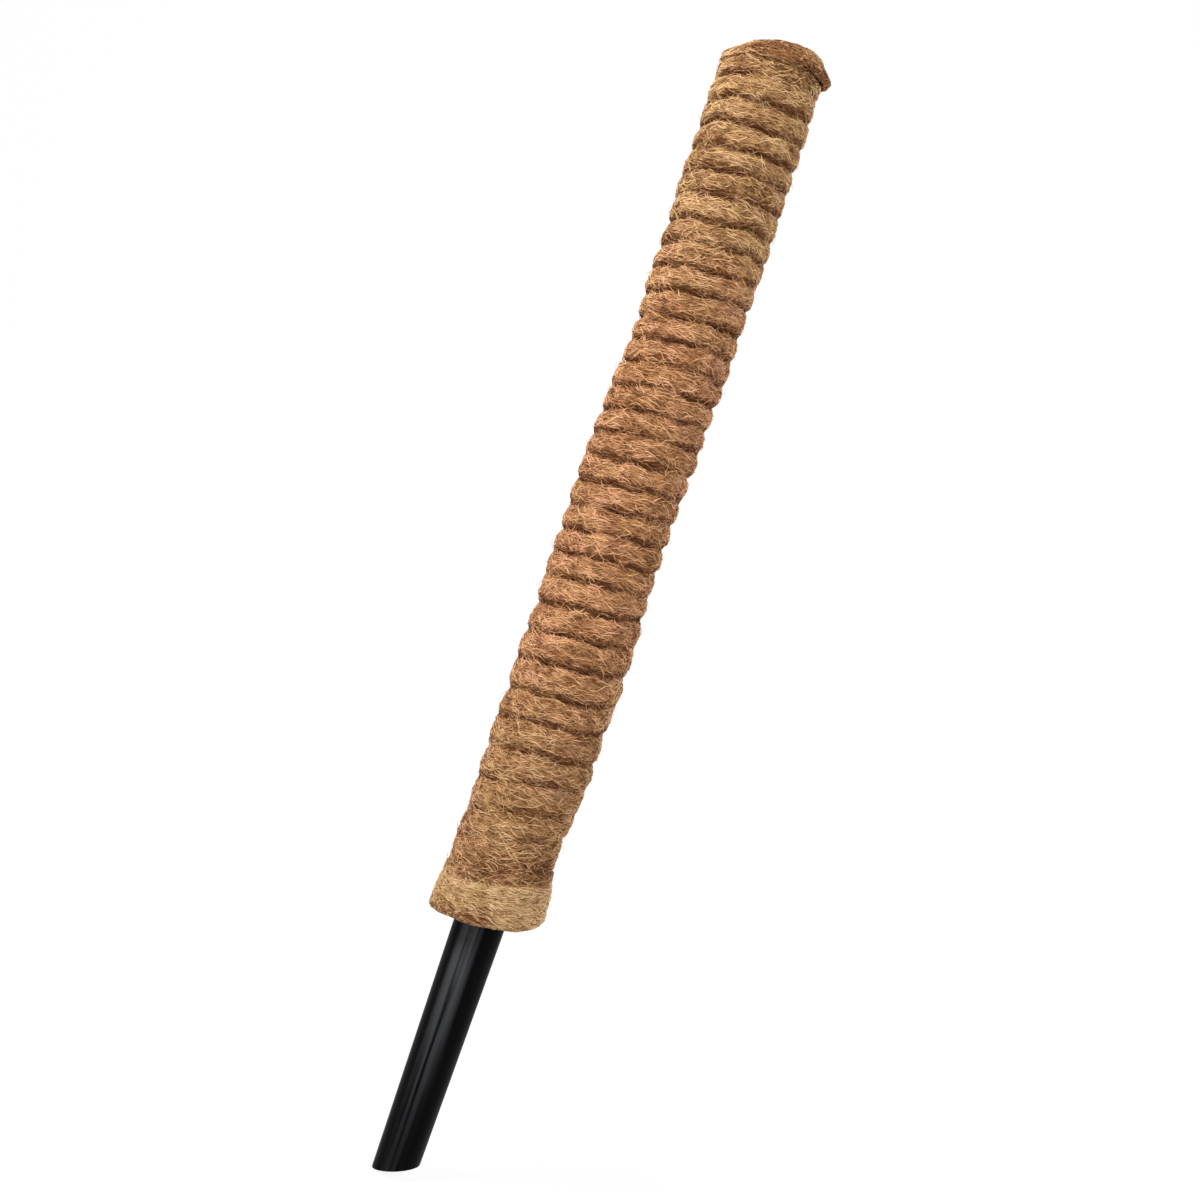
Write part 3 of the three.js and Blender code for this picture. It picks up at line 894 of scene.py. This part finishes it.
def coir_tone(tree, place, strand, crease):
    """The coir tone group placed in a material."""
    group = bpy.data.node_groups.get("Coir tone") or coir_tone_group()
    node = add_node(tree, "ShaderNodeGroup", node_tree=group)
    for name, value in (("Place", place), ("Strand", strand), ("Crease", crease)):
        feed(tree, node.inputs[name], value)
    return out_of(tree, node)


def object_place(tree):
    """Object coordinates as a field."""
    return out_of(tree, add_node(tree, "ShaderNodeTexCoord"), "Object")


def attribute(tree, name):
    """A mesh attribute's value as a field."""
    return out_of(tree, add_node(tree, "ShaderNodeAttribute", attribute_name=name), "Fac")


def stretched(tree, place, level, upright, detail=2.0, turn=(0.0, 0.0, 0.0)):
    """Noise with one scale round the pole and another up it, turned a little where that is given."""
    node = add_node(
        tree, "ShaderNodeMapping",
        {"Vector": place, "Rotation": turn, "Scale": (level / MM, level / MM, upright / MM)},
    )
    return noise_of(tree, out_of(tree, node), 1.0, detail)


def bumpy(tree, shader, strength, distance, height):
    """Gives a shader a bump of a strength and a depth in millimetres."""
    inputs = {"Strength": strength, "Distance": distance * MM, "Height": height}
    feed(tree, shader.inputs["Normal"], out_of(tree, add_node(tree, "ShaderNodeBump", inputs)))


def coir_mat_material():
    """Matted coir: crossing strands in colour and bump, with painted shade that keeps it darker than the
    loose fibres over it.
    """
    material, tree, shader = new_material("coir mat")
    place = object_place(tree)
    level = stretched(tree, place, 0.16, 2.6)
    rising = stretched(tree, place, 0.2, 2.2, turn=(0.35, 0.3, 0.0))
    falling = stretched(tree, place, 0.2, 2.4, turn=(-0.3, -0.4, 0.0))
    strand = level.math("MAXIMUM", rising * 0.95).math("MAXIMUM", falling * 0.95)
    sharp = strand.mapped(0.42, 0.72)
    # The 0.15 is painted shade under the loose fibres.
    crease = attribute(tree, "crease") + 0.15
    feed(tree, shader.inputs["Base Color"], coir_tone(tree, place, sharp * 0.8, crease))
    feed(tree, shader.inputs["Roughness"], sharp.mapped(0.0, 1.0, 0.95, 0.78))
    bumpy(tree, shader, 0.9, 0.4, sharp)
    shader.inputs["Specular IOR Level"].default_value = 0.06
    return material


def coir_fibre_material():
    """Single coir strands, each with a tint of its own."""
    material, tree, shader = new_material("coir strands")
    place = object_place(tree)
    flecks = noise_of(tree, place.scaled(1 / MM), 0.9, detail=1.0)
    strand = attribute(tree, "tint") * 0.85 + (flecks - 0.5) * 0.5 + 0.1
    # Painted shade: fibres that lie lower among the others are darker.
    buried_shade = attribute(tree, "rise").opposite() ** 2.0 * 0.3
    crease = attribute(tree, "crease") + buried_shade
    feed(tree, shader.inputs["Base Color"], coir_tone(tree, place, strand, crease))
    feed(tree, shader.inputs["Roughness"], flecks.mapped(0.2, 0.8, 0.5, 0.8))
    shader.inputs["Specular IOR Level"].default_value = 0.15
    return material


def pipe_material():
    """Extruded black plastic: satin, with lengthwise streaks, worn grey sides, a painted highlight on
    the side towards the camera and fine scuffs.
    """
    look = finishes()
    material, tree, shader = new_material("black pipe plastic")
    place = object_place(tree)
    streak = stretched(tree, place, 0.55, 0.012, detail=3.0)
    hair = stretched(tree, place, 2.5, 0.05)
    scuff = noise_of(tree, place.scaled(1 / MM), 0.7, detail=4.0)
    x, y, z = place.parts()
    direction = y.math("ARCTAN2", x)
    highlight_and_wear = scuff.smooth(0.6, 0.8) * 0.12 + streak.smooth(0.55, 0.75) * 0.2
    # The first side is a painted highlight; the others are worn grey.
    for middle, half_width, share in HIGHLIT_AND_WORN_SIDES:
        facing = (direction - math.radians(middle)).math("COSINE")
        side = facing.smooth(math.cos(math.radians(half_width)), 1.0)
        highlight_and_wear = highlight_and_wear + side * share * streak.smooth(0.3, 0.55)
    grey = highlight_and_wear * z.smooth(*HIGHLIGHT_AND_WEAR_ON_STAKE)
    feed(tree, shader.inputs["Base Color"], mix_colours(tree, grey, look.pipe_black, look.pipe_grey))
    feed(tree, shader.inputs["Roughness"], streak.mapped(0.3, 0.7, 0.3, 0.46) + (scuff - 0.5) * 0.2)
    shader.inputs["Specular IOR Level"].default_value = 0.025
    bumpy(tree, shader, 0.25, 0.15, streak + hair * 0.35)
    return material


def line_material():
    """Thin polymer line, brown with dust from the coir."""
    look = finishes()
    material, tree, shader = new_material("binding line")
    dust = noise_of(tree, object_place(tree).scaled(1 / MM), 0.8)
    dusty = mix_colours(tree, dust.smooth(0.45, 0.7), look.line_brown, look.middle_coir)
    feed(tree, shader.inputs["Base Color"], dusty)
    feed(tree, shader.inputs["Roughness"], dust.mapped(0.3, 0.7, 0.4, 0.7))
    return material


# Meshes by hand


def finished(mesh, name, smooth=False):
    """The plain mesh of one that is under construction."""
    for face in mesh.faces:
        face.smooth = smooth
    data = bpy.data.meshes.new(name)
    mesh.to_mesh(data)
    mesh.free()
    return data


def spun_mesh(name, section_at, columns, closed):
    """A mesh from a section of points that may change with the angle, turned about the axis.

    A closed section makes a ring, and an open one is left open at its first and last points.
    """
    mesh = bmesh.new()
    rings = []
    for column in range(columns):
        angle = math.tau * column / columns
        rings.append([mesh.verts.new(Vector(point) * MM) for point in section_at(angle)])
    count = len(rings[0])
    steps = count if closed else count - 1
    for here, there in zip(rings, rings[1:] + rings[:1]):
        for i in range(steps):
            j = (i + 1) % count
            mesh.faces.new((here[i], there[i], there[j], here[j]))
    bmesh.ops.remove_doubles(mesh, verts=mesh.verts, dist=WELD * MM)
    bmesh.ops.recalc_face_normals(mesh, faces=mesh.faces)
    return finished(mesh, name, smooth=True)


def ring_point(radius, angle, z):
    """A point at a radius, an angle and a height."""
    return (radius * math.cos(angle), radius * math.sin(angle), z)


def tilt(point):
    """A point moved with the slant of the pole's lower end."""
    size = sizes()
    x, y, z = point
    fade = 1 - ease((z - size.hem_height) / size.slant_fade)
    return (x, y, z + x * math.tan(size.slant) * fade)


def rough(point, scale, amount):
    """Soft noise at a point, up to about the amount."""
    return noise.noise(Vector(point) * scale) * amount


def mark(mesh, name, value_of):
    """A float attribute on a mesh's points, from a function of each point in millimetres."""
    layer = mesh.attributes.new(name, "FLOAT", "POINT")
    for vertex, item in zip(mesh.vertices, layer.data):
        item.value = value_of(vertex.co / MM)


# Operators


class MOSSPOLE_OT_core_pipe(bpy.types.Operator):
    """Build the black pipe with its narrowing stake and slanted tip"""

    bl_idname = "moss_pole.core_pipe"
    bl_label = "Core pipe"

    rim: length("Rim", "Rounding of the tip's cut edges", 0.25)

    def execute(self, context):
        size = sizes()
        spare = 2 * size.pipe_radius
        narrowing = (size.pipe_radius - size.tip_radius) / size.stake_length
        end = -size.stake_length - spare
        end_radius = size.tip_radius - narrowing * spare
        outside = [(end_radius, end), (size.pipe_radius, 0.0), (size.pipe_radius, size.coir_top)]
        inside = [(radius - size.pipe_wall, z) for radius, z in reversed(outside)]

        def section(angle):
            """The wall's section, longer than the stake by what the slanted cut needs."""
            return [ring_point(radius, angle, z) for radius, z in outside + inside]

        data = spun_mesh("pipe", section, 96, closed=True)
        mesh = bmesh.new()
        mesh.from_mesh(data)
        cut = bmesh.ops.bisect_plane(
            mesh, geom=mesh.verts[:] + mesh.edges[:] + mesh.faces[:],
            plane_co=(0.0, 0.0, -size.stake_length * MM),
            plane_no=(math.sin(size.tip_angle), 0.0, -math.cos(size.tip_angle)), clear_outer=True,
        )
        edges = [item for item in cut["geom_cut"] if isinstance(item, bmesh.types.BMEdge)]
        filled = bmesh.ops.bridge_loops(mesh, edges=edges)
        rim = {edge for face in filled["faces"] for edge in face.edges if edge in edges}
        bmesh.ops.bevel(mesh, geom=list(rim), offset=self.rim, segments=2, affect="EDGES", profile=0.6)
        bmesh.ops.recalc_face_normals(mesh, faces=mesh.faces)
        mesh.to_mesh(data)
        mesh.free()
        data.materials.append(pipe_material())
        data.set_sharp_from_angle(angle=math.radians(40))
        settle(put_in_scene("core_pipe_look", data), "black_plastic", "core_pipe")
        return {"FINISHED"}


class MOSSPOLE_OT_inner_mat(bpy.types.Operator):
    """Build the inner coir layer, rolled once round the pipe"""

    bl_idname = "moss_pole.inner_mat"
    bl_label = "Inner coir mat"

    slit = 0.05  # half of the slit where its two edges meet, in radians
    columns, rows = 72, 60
    lumps = 0.15  # size of its unevenness

    def execute(self, context):
        size = sizes()
        bore = size.pipe_radius + GAP
        low, high = size.hem_floor + GAP, size.coir_top
        rows = self.rows
        heights = [low + (high - low) * row / rows for row in range(rows + 1)]
        mesh = bmesh.new()
        rings = []
        for column in range(self.columns + 1):
            angle = BACK + self.slit + (math.tau - 2 * self.slit) * column / self.columns
            places = []
            for z in heights:
                lump = rough(ring_point(size.mat_radius, angle, z), 0.3, self.lumps)
                places.append(ring_point(size.mat_radius - self.lumps + lump, angle, z))
            places += [ring_point(bore, angle, z) for z in reversed(heights)]
            rings.append([mesh.verts.new(Vector(tilt(place)) * MM) for place in places])
        count = len(rings[0])
        for here, there in zip(rings, rings[1:]):
            for i in range(count):
                j = (i + 1) % count
                mesh.faces.new((here[i], there[i], there[j], here[j]))
        for ring in (rings[0], rings[-1]):
            for i in range(rows):
                mesh.faces.new((ring[i], ring[i + 1], ring[count - 2 - i], ring[count - 1 - i]))
        bmesh.ops.recalc_face_normals(mesh, faces=mesh.faces)
        data = finished(mesh, "inner_coir_mat_look")
        mark(data, "crease", lambda point: 0.0)
        data.materials.append(shared_material("coir mat", coir_mat_material))
        mat = put_in_scene("inner_coir_mat_look", data)
        settle(mat, "coir", "inner_coir_mat")
        return {"FINISHED"}


class MOSSPOLE_OT_sleeve(bpy.types.Operator):
    """Build the ribbed outer coir layer and the fibres that lie over it"""

    bl_idname = "moss_pole.sleeve"
    bl_label = "Coir sleeve"

    columns: whole("Columns", "Faces round the sleeve", 220)
    rows: whole("Rows", "Faces up the sleeve", 420)

    def execute(self, context):
        mat = shared_material("coir mat", coir_mat_material)
        values = {"Columns": self.columns, "Rows": self.rows, "Material": mat}
        sleeve = run_tree(sleeve_tree(), "coir_sleeve_look", values)
        settle(sleeve, "coir", "coir_sleeve")
        for layer in range(fibres().sleeve_pieces):
            name = f"sleeve_fibres_{layer + 1}"
            grow_fibres(sleeve.data, name, count=5800, seed=20 * layer, spread=0.8)
        grow_fibres(
            sleeve.data, "sleeve_stray_fibres", count=1500, seed=400, spread=1.8, stray=1.8,
            fibre_length=7.0, thickness=0.06,
        )
        return {"FINISHED"}


class MOSSPOLE_OT_hem(bpy.types.Operator):
    """Build the folded coir hem and its fibres"""

    bl_idname = "moss_pole.hem"
    bl_label = "Bottom hem"

    steps = 8  # faces of the lower edge's rounding, and of the band over it
    slack_side = math.radians(-35)  # the direction in which the fold hangs lowest
    edge_rounding, edge_change = 1.6, 1.4  # of the lower edge, and how it changes to the high side
    low_side_rise = 0.9  # how far the fold is drawn up on the low side
    taper_power = 1.4  # of the band as it narrows to its top
    top_edge = ((0.9, 0.5), (1.1, 0.15), (1.7, 0.0))  # in from the rim, and down from the top
    lumps = ((0.09, 0.5), (0.5, 0.25))  # scale and size of the band's unevenness
    inset = 0.1
    bulge = 0.45  # how much fuller the band is on the high side

    def execute(self, context):
        size = sizes()
        data = spun_mesh("bottom_hem_look", self.section, 200, closed=True)
        skin_from = size.neck_radius + GAP + 0.8
        middle = BOW_START / 2
        mark(data, "crease", self.dark_streaks)
        mark(data, "skin", lambda point: float(math.hypot(point.x - middle, point.y) > skin_from))
        data.materials.append(shared_material("coir mat", coir_mat_material))
        hem = put_in_scene("bottom_hem_look", data)
        settle(hem, "coir_trim", "bottom_hem")
        grow_fibres(data, "hem_fibres", count=5200, seed=500, spread=0.3, lift=0.45)
        cover_seam(
            "hem_seam", self.seam_section, self.seam_shade, lambda point: 1.0,
            count=1300, seed=700, lift=0.35,
        )
        return {"FINISHED"}

    def outline(self, angle):
        """The hem's section: crisp below on the low side, and rounded and slack on the high one."""
        size = sizes()
        hole, inside = size.pipe_radius + GAP, size.neck_radius + GAP
        rim, top = size.hem_radius, size.hem_height
        edge = self.edge_rounding + self.edge_change * math.cos(angle)
        low = -size.hem_sag * ((1 + math.cos(angle - self.slack_side)) / 2) ** 2
        low += self.low_side_rise * max(-math.cos(angle), 0.0) ** 1.5
        points = [(hole, 0.0), ((hole + rim) / 2, low * 0.6)]
        for step in range(self.steps + 1):
            turn = math.pi / 2 * step / self.steps
            points.append((rim - edge + edge * math.sin(turn), low + edge - edge * math.cos(turn)))
        inwards, down = self.top_edge[0]
        band = top - down - low - edge
        for step in range(1, self.steps + 1):
            share = step / self.steps
            points.append((rim - inwards * share ** self.taper_power, low + edge + band * share))
        points += [(rim - inwards, top - down) for inwards, down in self.top_edge[1:]]
        return points + [(inside, top), (inside, size.hem_floor), (hole, size.hem_floor)]

    def section(self, angle):
        """The outline with its unevenness, the pole's bow and the slant."""
        size = sizes()
        points = []
        for radius, z in self.outline(angle):
            shift = 0.0
            if radius > size.neck_radius + GAP:
                point = ring_point(size.hem_radius, angle, z)
                radius += sum(rough(point, *lump) for lump in self.lumps) - self.inset
                radius += self.bulge * max(math.cos(angle), 0.0)
                shift = bow_here(z)
            x, y, z = tilt(ring_point(radius, angle, z))
            points.append((x + shift, y, z))
        return points

    def dark_streaks(self, point):
        """Darker streaks round the fold, most at its lower edge away from the slack side."""
        level = point.z - point.x * math.tan(sizes().slant)
        around = Vector((point.x * 0.1, point.y * 0.1, level * 0.7))
        away = 1 - ease((point.x - 1.0) / 9.0)
        lower_edge = 0.6 * away * (1 - ease((level - 1.0) / 3.5))
        return min(max(0.02 + rough(around, 1.0, 0.55) + lower_edge, 0.0), 0.75)

    def seam_section(self, angle):
        """A band over the seam with the sleeve, a little wider than both pieces."""
        size = sizes()
        radius = size.waist_radius + size.waist_flare + 0.25
        points = []
        for up in range(-4, 5):
            x, y, z = tilt(ring_point(radius - 0.08 * up, angle, size.hem_height + up))
            points.append((x + bow_here(z), y, z))
        return points

    def seam_shade(self, point):
        """Painted shade over the seam: light on the fold's edge, dark above it."""
        size = sizes()
        level = point.z - point.x * math.tan(size.slant) - size.hem_height
        to_lip = ease((point.x + 14.0) / 16.0)
        return 0.05 + ease((level + 0.3) / 1.2) * (0.25 + 0.3 * to_lip)


class MOSSPOLE_OT_cap(bpy.types.Operator):
    """Build the coir cap with its leaning crown, its lip and its fibres"""

    bl_idname = "moss_pole.cap"
    bl_label = "Top cap"

    steps = 24  # faces from the rim to the middle of the crown
    flatness = 2.4  # power of the crown's section: the higher, the flatter on top
    lip_start = 0.1  # the lip begins where the cosine of the angle from +X is this
    lumps = ((0.12, 0.5), (0.45, 0.4))  # scale and size of the crown's unevenness
    fibre_room = 1.1  # what the loose fibres add to the crown's height
    edge_in = 0.4  # how far the cap's edge stays inside the sleeve's radius

    def execute(self, context):
        size = sizes()
        under = size.coir_top + GAP
        edge = size.sleeve_radius - self.edge_in
        bow = bow_here(under)

        def is_skin(point):
            """1 on the crown and the lip, and 0 on the underside."""
            return float(point.z > under + 0.2 or math.hypot(point.x - bow, point.y) > edge)

        data = spun_mesh("top_cap_look", self.section, 200, closed=False)
        mark(data, "crease", self.dark_streaks)
        mark(data, "skin", is_skin)
        data.materials.append(shared_material("coir mat", coir_mat_material))
        cap = put_in_scene("top_cap_look", data)
        settle(cap, "coir_trim", "top_cap")
        grow_fibres(
            data, "cap_fibres", count=2800, seed=600, spread=1.1, lift=0.6, grain_axis=(0.15, 1.0, 0.1)
        )
        cover_seam(
            "cap_seam", self.seam_section, self.seam_shade, lambda point: float(point.x < 7.0),
            count=800, seed=800, lift=0.3,
        )
        return {"FINISHED"}

    def section(self, angle):
        """From the middle of the underside over the lip to the crown."""
        size = sizes()
        under = size.coir_top + GAP
        brim = under - 0.2
        edge = size.sleeve_radius - self.edge_in
        crown = size.cap_top - self.fibre_room
        lean = math.tan(size.cap_lean)
        bow = bow_here(under)
        flop = ease((math.cos(angle) - self.lip_start) / (1 - self.lip_start))
        rim = edge + size.cap_lip * flop
        seat = edge - 1.4 + 1.6 * flop
        low = under - size.cap_droop * flop
        points = [(0.0, under), (seat * 0.5, under), (seat, under)]
        points += [(seat + (rim - seat) * 0.3, low), (seat + (rim - seat) * 0.8, (low + brim) / 2)]
        for step in range(self.steps + 1):
            out = 1 - step / self.steps
            points.append((rim * out, crown - (crown - brim) * out ** self.flatness))
        placed = []
        for radius, z in points:
            x, y, z = ring_point(radius, angle, z)
            up = max(z - under, 0.0) / (crown - under)
            lump = sum(rough((x, y, z), *each) for each in self.lumps)
            grown = 1 + (lump / radius if radius > seat * 0.8 and z != under else 0.0)
            raised = lump * up * 0.5 - sunk_here(x)
            if z != under:
                raised += lean * (x if x > 0 else x * min(up * 3, 1.0))
            placed.append((x * grown + size.cap_shift * up * up + bow, y * grown, z + raised))
        return placed

    def dark_streaks(self, point):
        """Painted shade on the cap, darker towards its lip, the side away from the key lamp, and towards
        its seam, in streaks across it.
        """
        size = sizes()
        across = Vector((point.x * 0.12, point.y * 0.5, point.z * 0.8))
        to_lip = ease((point.x + 14.0) / 12.0)
        rise = point.z - size.coir_top - math.tan(size.cap_lean) * max(point.x, 0.0)
        to_seam = 1 - ease((rise - 1.0) / 4.0)
        # Painted shade, broken into streaks by noise.
        dark = 0.36 + 0.3 * to_lip + 0.4 * to_seam * (0.4 + 0.6 * to_lip)
        return min(max(dark + rough(across, 1.0, 1.3), 0.08), 1.0)

    def seam_section(self, angle):
        """A band over the seam with the sleeve, which curves in over the crown."""
        size = sizes()
        lean = math.tan(size.cap_lean)
        points = []
        for up in range(-4, 5):
            radius = size.sleeve_radius - 0.15 - 0.06 * max(up + 2.5, 0) ** 2
            x, y, z = ring_point(radius, angle, size.coir_top + 0.5 * up)
            points.append((x + bow_here(size.coir_top), y, z + lean * max(x, 0.0) - sunk_here(x)))
        return points

    def seam_shade(self, point):
        """Light on the sleeve's edge, and the cap's painted shade and streaks above it."""
        above = ease((point.z - sizes().coir_top + 2.4) / 1.2)
        to_lip = ease((point.x + 14.0) / 12.0)
        return 0.12 + self.dark_streaks(point) * above * (0.75 + 0.25 * to_lip)


class MOSSPOLE_OT_binding_line(bpy.types.Operator):
    """Wind the binding line into the sleeve's grooves and tie it off"""

    bl_idname = "moss_pole.binding_line"
    bl_label = "Binding line"

    points_per_turn: whole("Points per turn", "Steps of the line in one turn", 36)

    def execute(self, context):
        material = shared_material("binding line", line_material)
        values = {"Points per turn": self.points_per_turn, "Material": material}
        line = run_tree(line_tree(), "binding_line_look", values)
        settle(line, "line", "binding_line")
        for name in ("lower_line_knot", "upper_line_knot"):
            mesh = bmesh.new()
            mesh.from_mesh(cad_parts[name].data)
            bmesh.ops.remove_doubles(mesh, verts=mesh.verts, dist=WELD * MM)
            low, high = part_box(name)
            bow = bow_here((low[2] + high[2]) / 2 / MM)
            bmesh.ops.translate(mesh, verts=mesh.verts, vec=Vector((bow * MM, 0.0, 0.0)))
            mesh.normal_update()
            for vertex in mesh.verts:
                vertex.co += vertex.normal * KNOT_SWELL * MM
            data = finished(mesh, name + "_look", smooth=True)
            data.materials.clear()
            data.materials.append(material)
            knot = put_in_scene(name + "_look", data)
            finer = knot.modifiers.new("Round", "SUBSURF")
            finer.levels = finer.render_levels = 2
            settle(knot, "line", name)
        return {"FINISHED"}


class MOSSPOLE_OT_stage(bpy.types.Operator):
    """Set the camera, the floor, the backdrop and the lights"""

    bl_idname = "moss_pole.stage"
    bl_label = "Stage"

    camera_place = (2.66, -635.5, 111.0)  # in millimetres
    lens, sensor = 57.0, 36.0
    lean = 19.1  # degrees that the pole leans to the right in the picture
    white_share = 0.93  # of the paper's white that doesn't depend on the light, for the camera
    sky_light = 0.36  # the sky's strength for everything but the camera
    # Half width of the paper sweep, its front edge, its wall and the bend between, in metres.
    wide, front, wall, bend = 3.0, -2.0, 0.9, 0.35
    bend_steps = 12
    lit_place = (0.0, 0.0, 0.12)
    # Lamps: name, place and width in metres, and watts.
    lamps = (
        ("key", (-0.55, -0.55, 0.78), 0.35, 15.8),
        ("fill", (0.75, -0.45, 0.45), 0.5, 4.5),
        ("back", (0.7, 0.6, 0.6), 0.5, 5.0),
    )

    def execute(self, context):
        scene = context.scene
        scene.view_settings.view_transform = "Standard"
        self.add_camera(scene)
        self.add_floor()
        self.light_up(scene)
        return {"FINISHED"}

    def add_camera(self, scene):
        """The photograph's view: level with the pole's middle, rolled so that the pole leans right."""
        data = bpy.data.cameras.new("photo_camera")
        data.lens = self.lens
        data.sensor_width = self.sensor
        camera = bpy.data.objects.new("photo_camera", data)
        camera.location = [along * MM for along in self.camera_place]
        camera.rotation_euler = (math.pi / 2, -math.radians(self.lean), 0.0)
        scene.collection.objects.link(camera)
        scene.camera = camera

    def looked_at(self, tree):
        """1 for the camera's rays and for those that a shiny or clear surface sends on."""
        path = add_node(tree, "ShaderNodeLightPath")
        seen = out_of(tree, path, "Is Camera Ray").math("MAXIMUM", out_of(tree, path, "Is Glossy Ray"))
        return seen.math("MAXIMUM", out_of(tree, path, "Is Transmission Ray"))

    def add_floor(self):
        """A pale floor that curves up into a backdrop, white to the camera."""
        material, tree, shader = new_material("white paper")
        seen = self.looked_at(tree)
        grain = noise_of(tree, object_place(tree), 900.0)
        paper = mix_colours(tree, grain, (0.8, 0.8, 0.8), (0.84, 0.84, 0.84))
        feed(tree, shader.inputs["Base Color"], paper)
        shader.inputs["Roughness"].default_value = 0.9
        white = add_node(tree, "ShaderNodeEmission", {"Color": (1.0, 1.0, 1.0, 1.0), "Strength": 1.0})
        both = tree.nodes.new("ShaderNodeMixShader")
        feed(tree, both.inputs[0], seen * self.white_share)
        tree.links.new(shader.outputs[0], both.inputs[1])
        tree.links.new(white.outputs[0], both.inputs[2])
        tree.links.new(both.outputs[0], tree.nodes["Material Output"].inputs["Surface"])
        floor = CAD_BOX[0][2]
        start, bend = self.wall - self.bend, self.bend
        outline = [(self.front, floor), (start, floor)]
        for step in range(1, self.bend_steps + 1):
            turn = math.pi / 2 * step / self.bend_steps
            outline.append((start + bend * math.sin(turn), floor + bend - bend * math.cos(turn)))
        outline.append((self.wall, floor + 2.5))
        mesh = bmesh.new()
        left = [mesh.verts.new((-self.wide, y, z)) for y, z in outline]
        right = [mesh.verts.new((self.wide, y, z)) for y, z in outline]
        for i in range(len(outline) - 1):
            mesh.faces.new((left[i], right[i], right[i + 1], left[i + 1]))
        data = finished(mesh, "paper_sweep", smooth=True)
        data.materials.append(material)
        sweep = put_in_scene("paper_sweep", data)

    def light_up(self, scene):
        """A large soft lamp from the upper left, weaker ones on the right, and an even sky."""
        world = bpy.data.worlds.new("studio")
        world.use_nodes = True
        tree = world.node_tree
        sky = tree.nodes["Background"]
        sky.inputs["Color"].default_value = (1.0, 1.0, 1.0, 1.0)
        feed(tree, sky.inputs["Strength"], self.looked_at(tree).mapped(0.0, 1.0, self.sky_light, 1.0))
        scene.world = world
        for name, place, width, watts in self.lamps:
            data = bpy.data.lights.new(name, "AREA")
            data.size = width
            data.energy = watts
            lamp = bpy.data.objects.new(name, data)
            lamp.location = place
            way = Vector(self.lit_place) - Vector(place)
            lamp.rotation_euler = way.to_track_quat("-Z", "Y").to_euler()
            scene.collection.objects.link(lamp)


class MOSSPOLE_PT_panel(bpy.types.Panel):
    """The pole's values and the steps that build it"""

    bl_label = "Moss pole"
    bl_idname = "MOSSPOLE_PT_panel"
    bl_space_type = "VIEW_3D"
    bl_region_type = "UI"
    bl_category = "Moss pole"

    def draw(self, context):
        layout = self.layout
        for name, cls in GROUPS.items():
            box = layout.box()
            for entry in cls.__annotations__:
                box.prop(getattr(context.scene, name), entry)
        for operator in OPERATORS:
            layout.operator(operator.bl_idname)


GROUPS = {
    "moss_pole_sizes": MossPoleSizes,
    "moss_pole_winding": MossPoleWinding,
    "moss_pole_fibres": MossPoleFibres,
    "moss_pole_finishes": MossPoleFinishes,
}
OPERATORS = (
    MOSSPOLE_OT_stage,
    MOSSPOLE_OT_core_pipe,
    MOSSPOLE_OT_inner_mat,
    MOSSPOLE_OT_sleeve,
    MOSSPOLE_OT_hem,
    MOSSPOLE_OT_cap,
    MOSSPOLE_OT_binding_line,
)
CLASSES = (*GROUPS.values(), *OPERATORS, MOSSPOLE_PT_panel)


def register():
    """Adds the classes and puts the pole's values on the scene."""
    for cls in CLASSES:
        bpy.utils.register_class(cls)
    for name, cls in GROUPS.items():
        setattr(bpy.types.Scene, name, bpy.props.PointerProperty(type=cls))


def unregister():
    """Takes the classes and values away again."""
    for name in GROUPS:
        delattr(bpy.types.Scene, name)
    for cls in reversed(CLASSES):
        bpy.utils.unregister_class(cls)


def main():
    """Builds the pole step by step."""
    register()
    bpy.ops.moss_pole.stage()
    bpy.ops.moss_pole.core_pipe()
    bpy.ops.moss_pole.inner_mat()
    bpy.ops.moss_pole.sleeve()
    bpy.ops.moss_pole.hem()
    bpy.ops.moss_pole.cap()
    bpy.ops.moss_pole.binding_line()


if __name__ == "__main__":
    main()
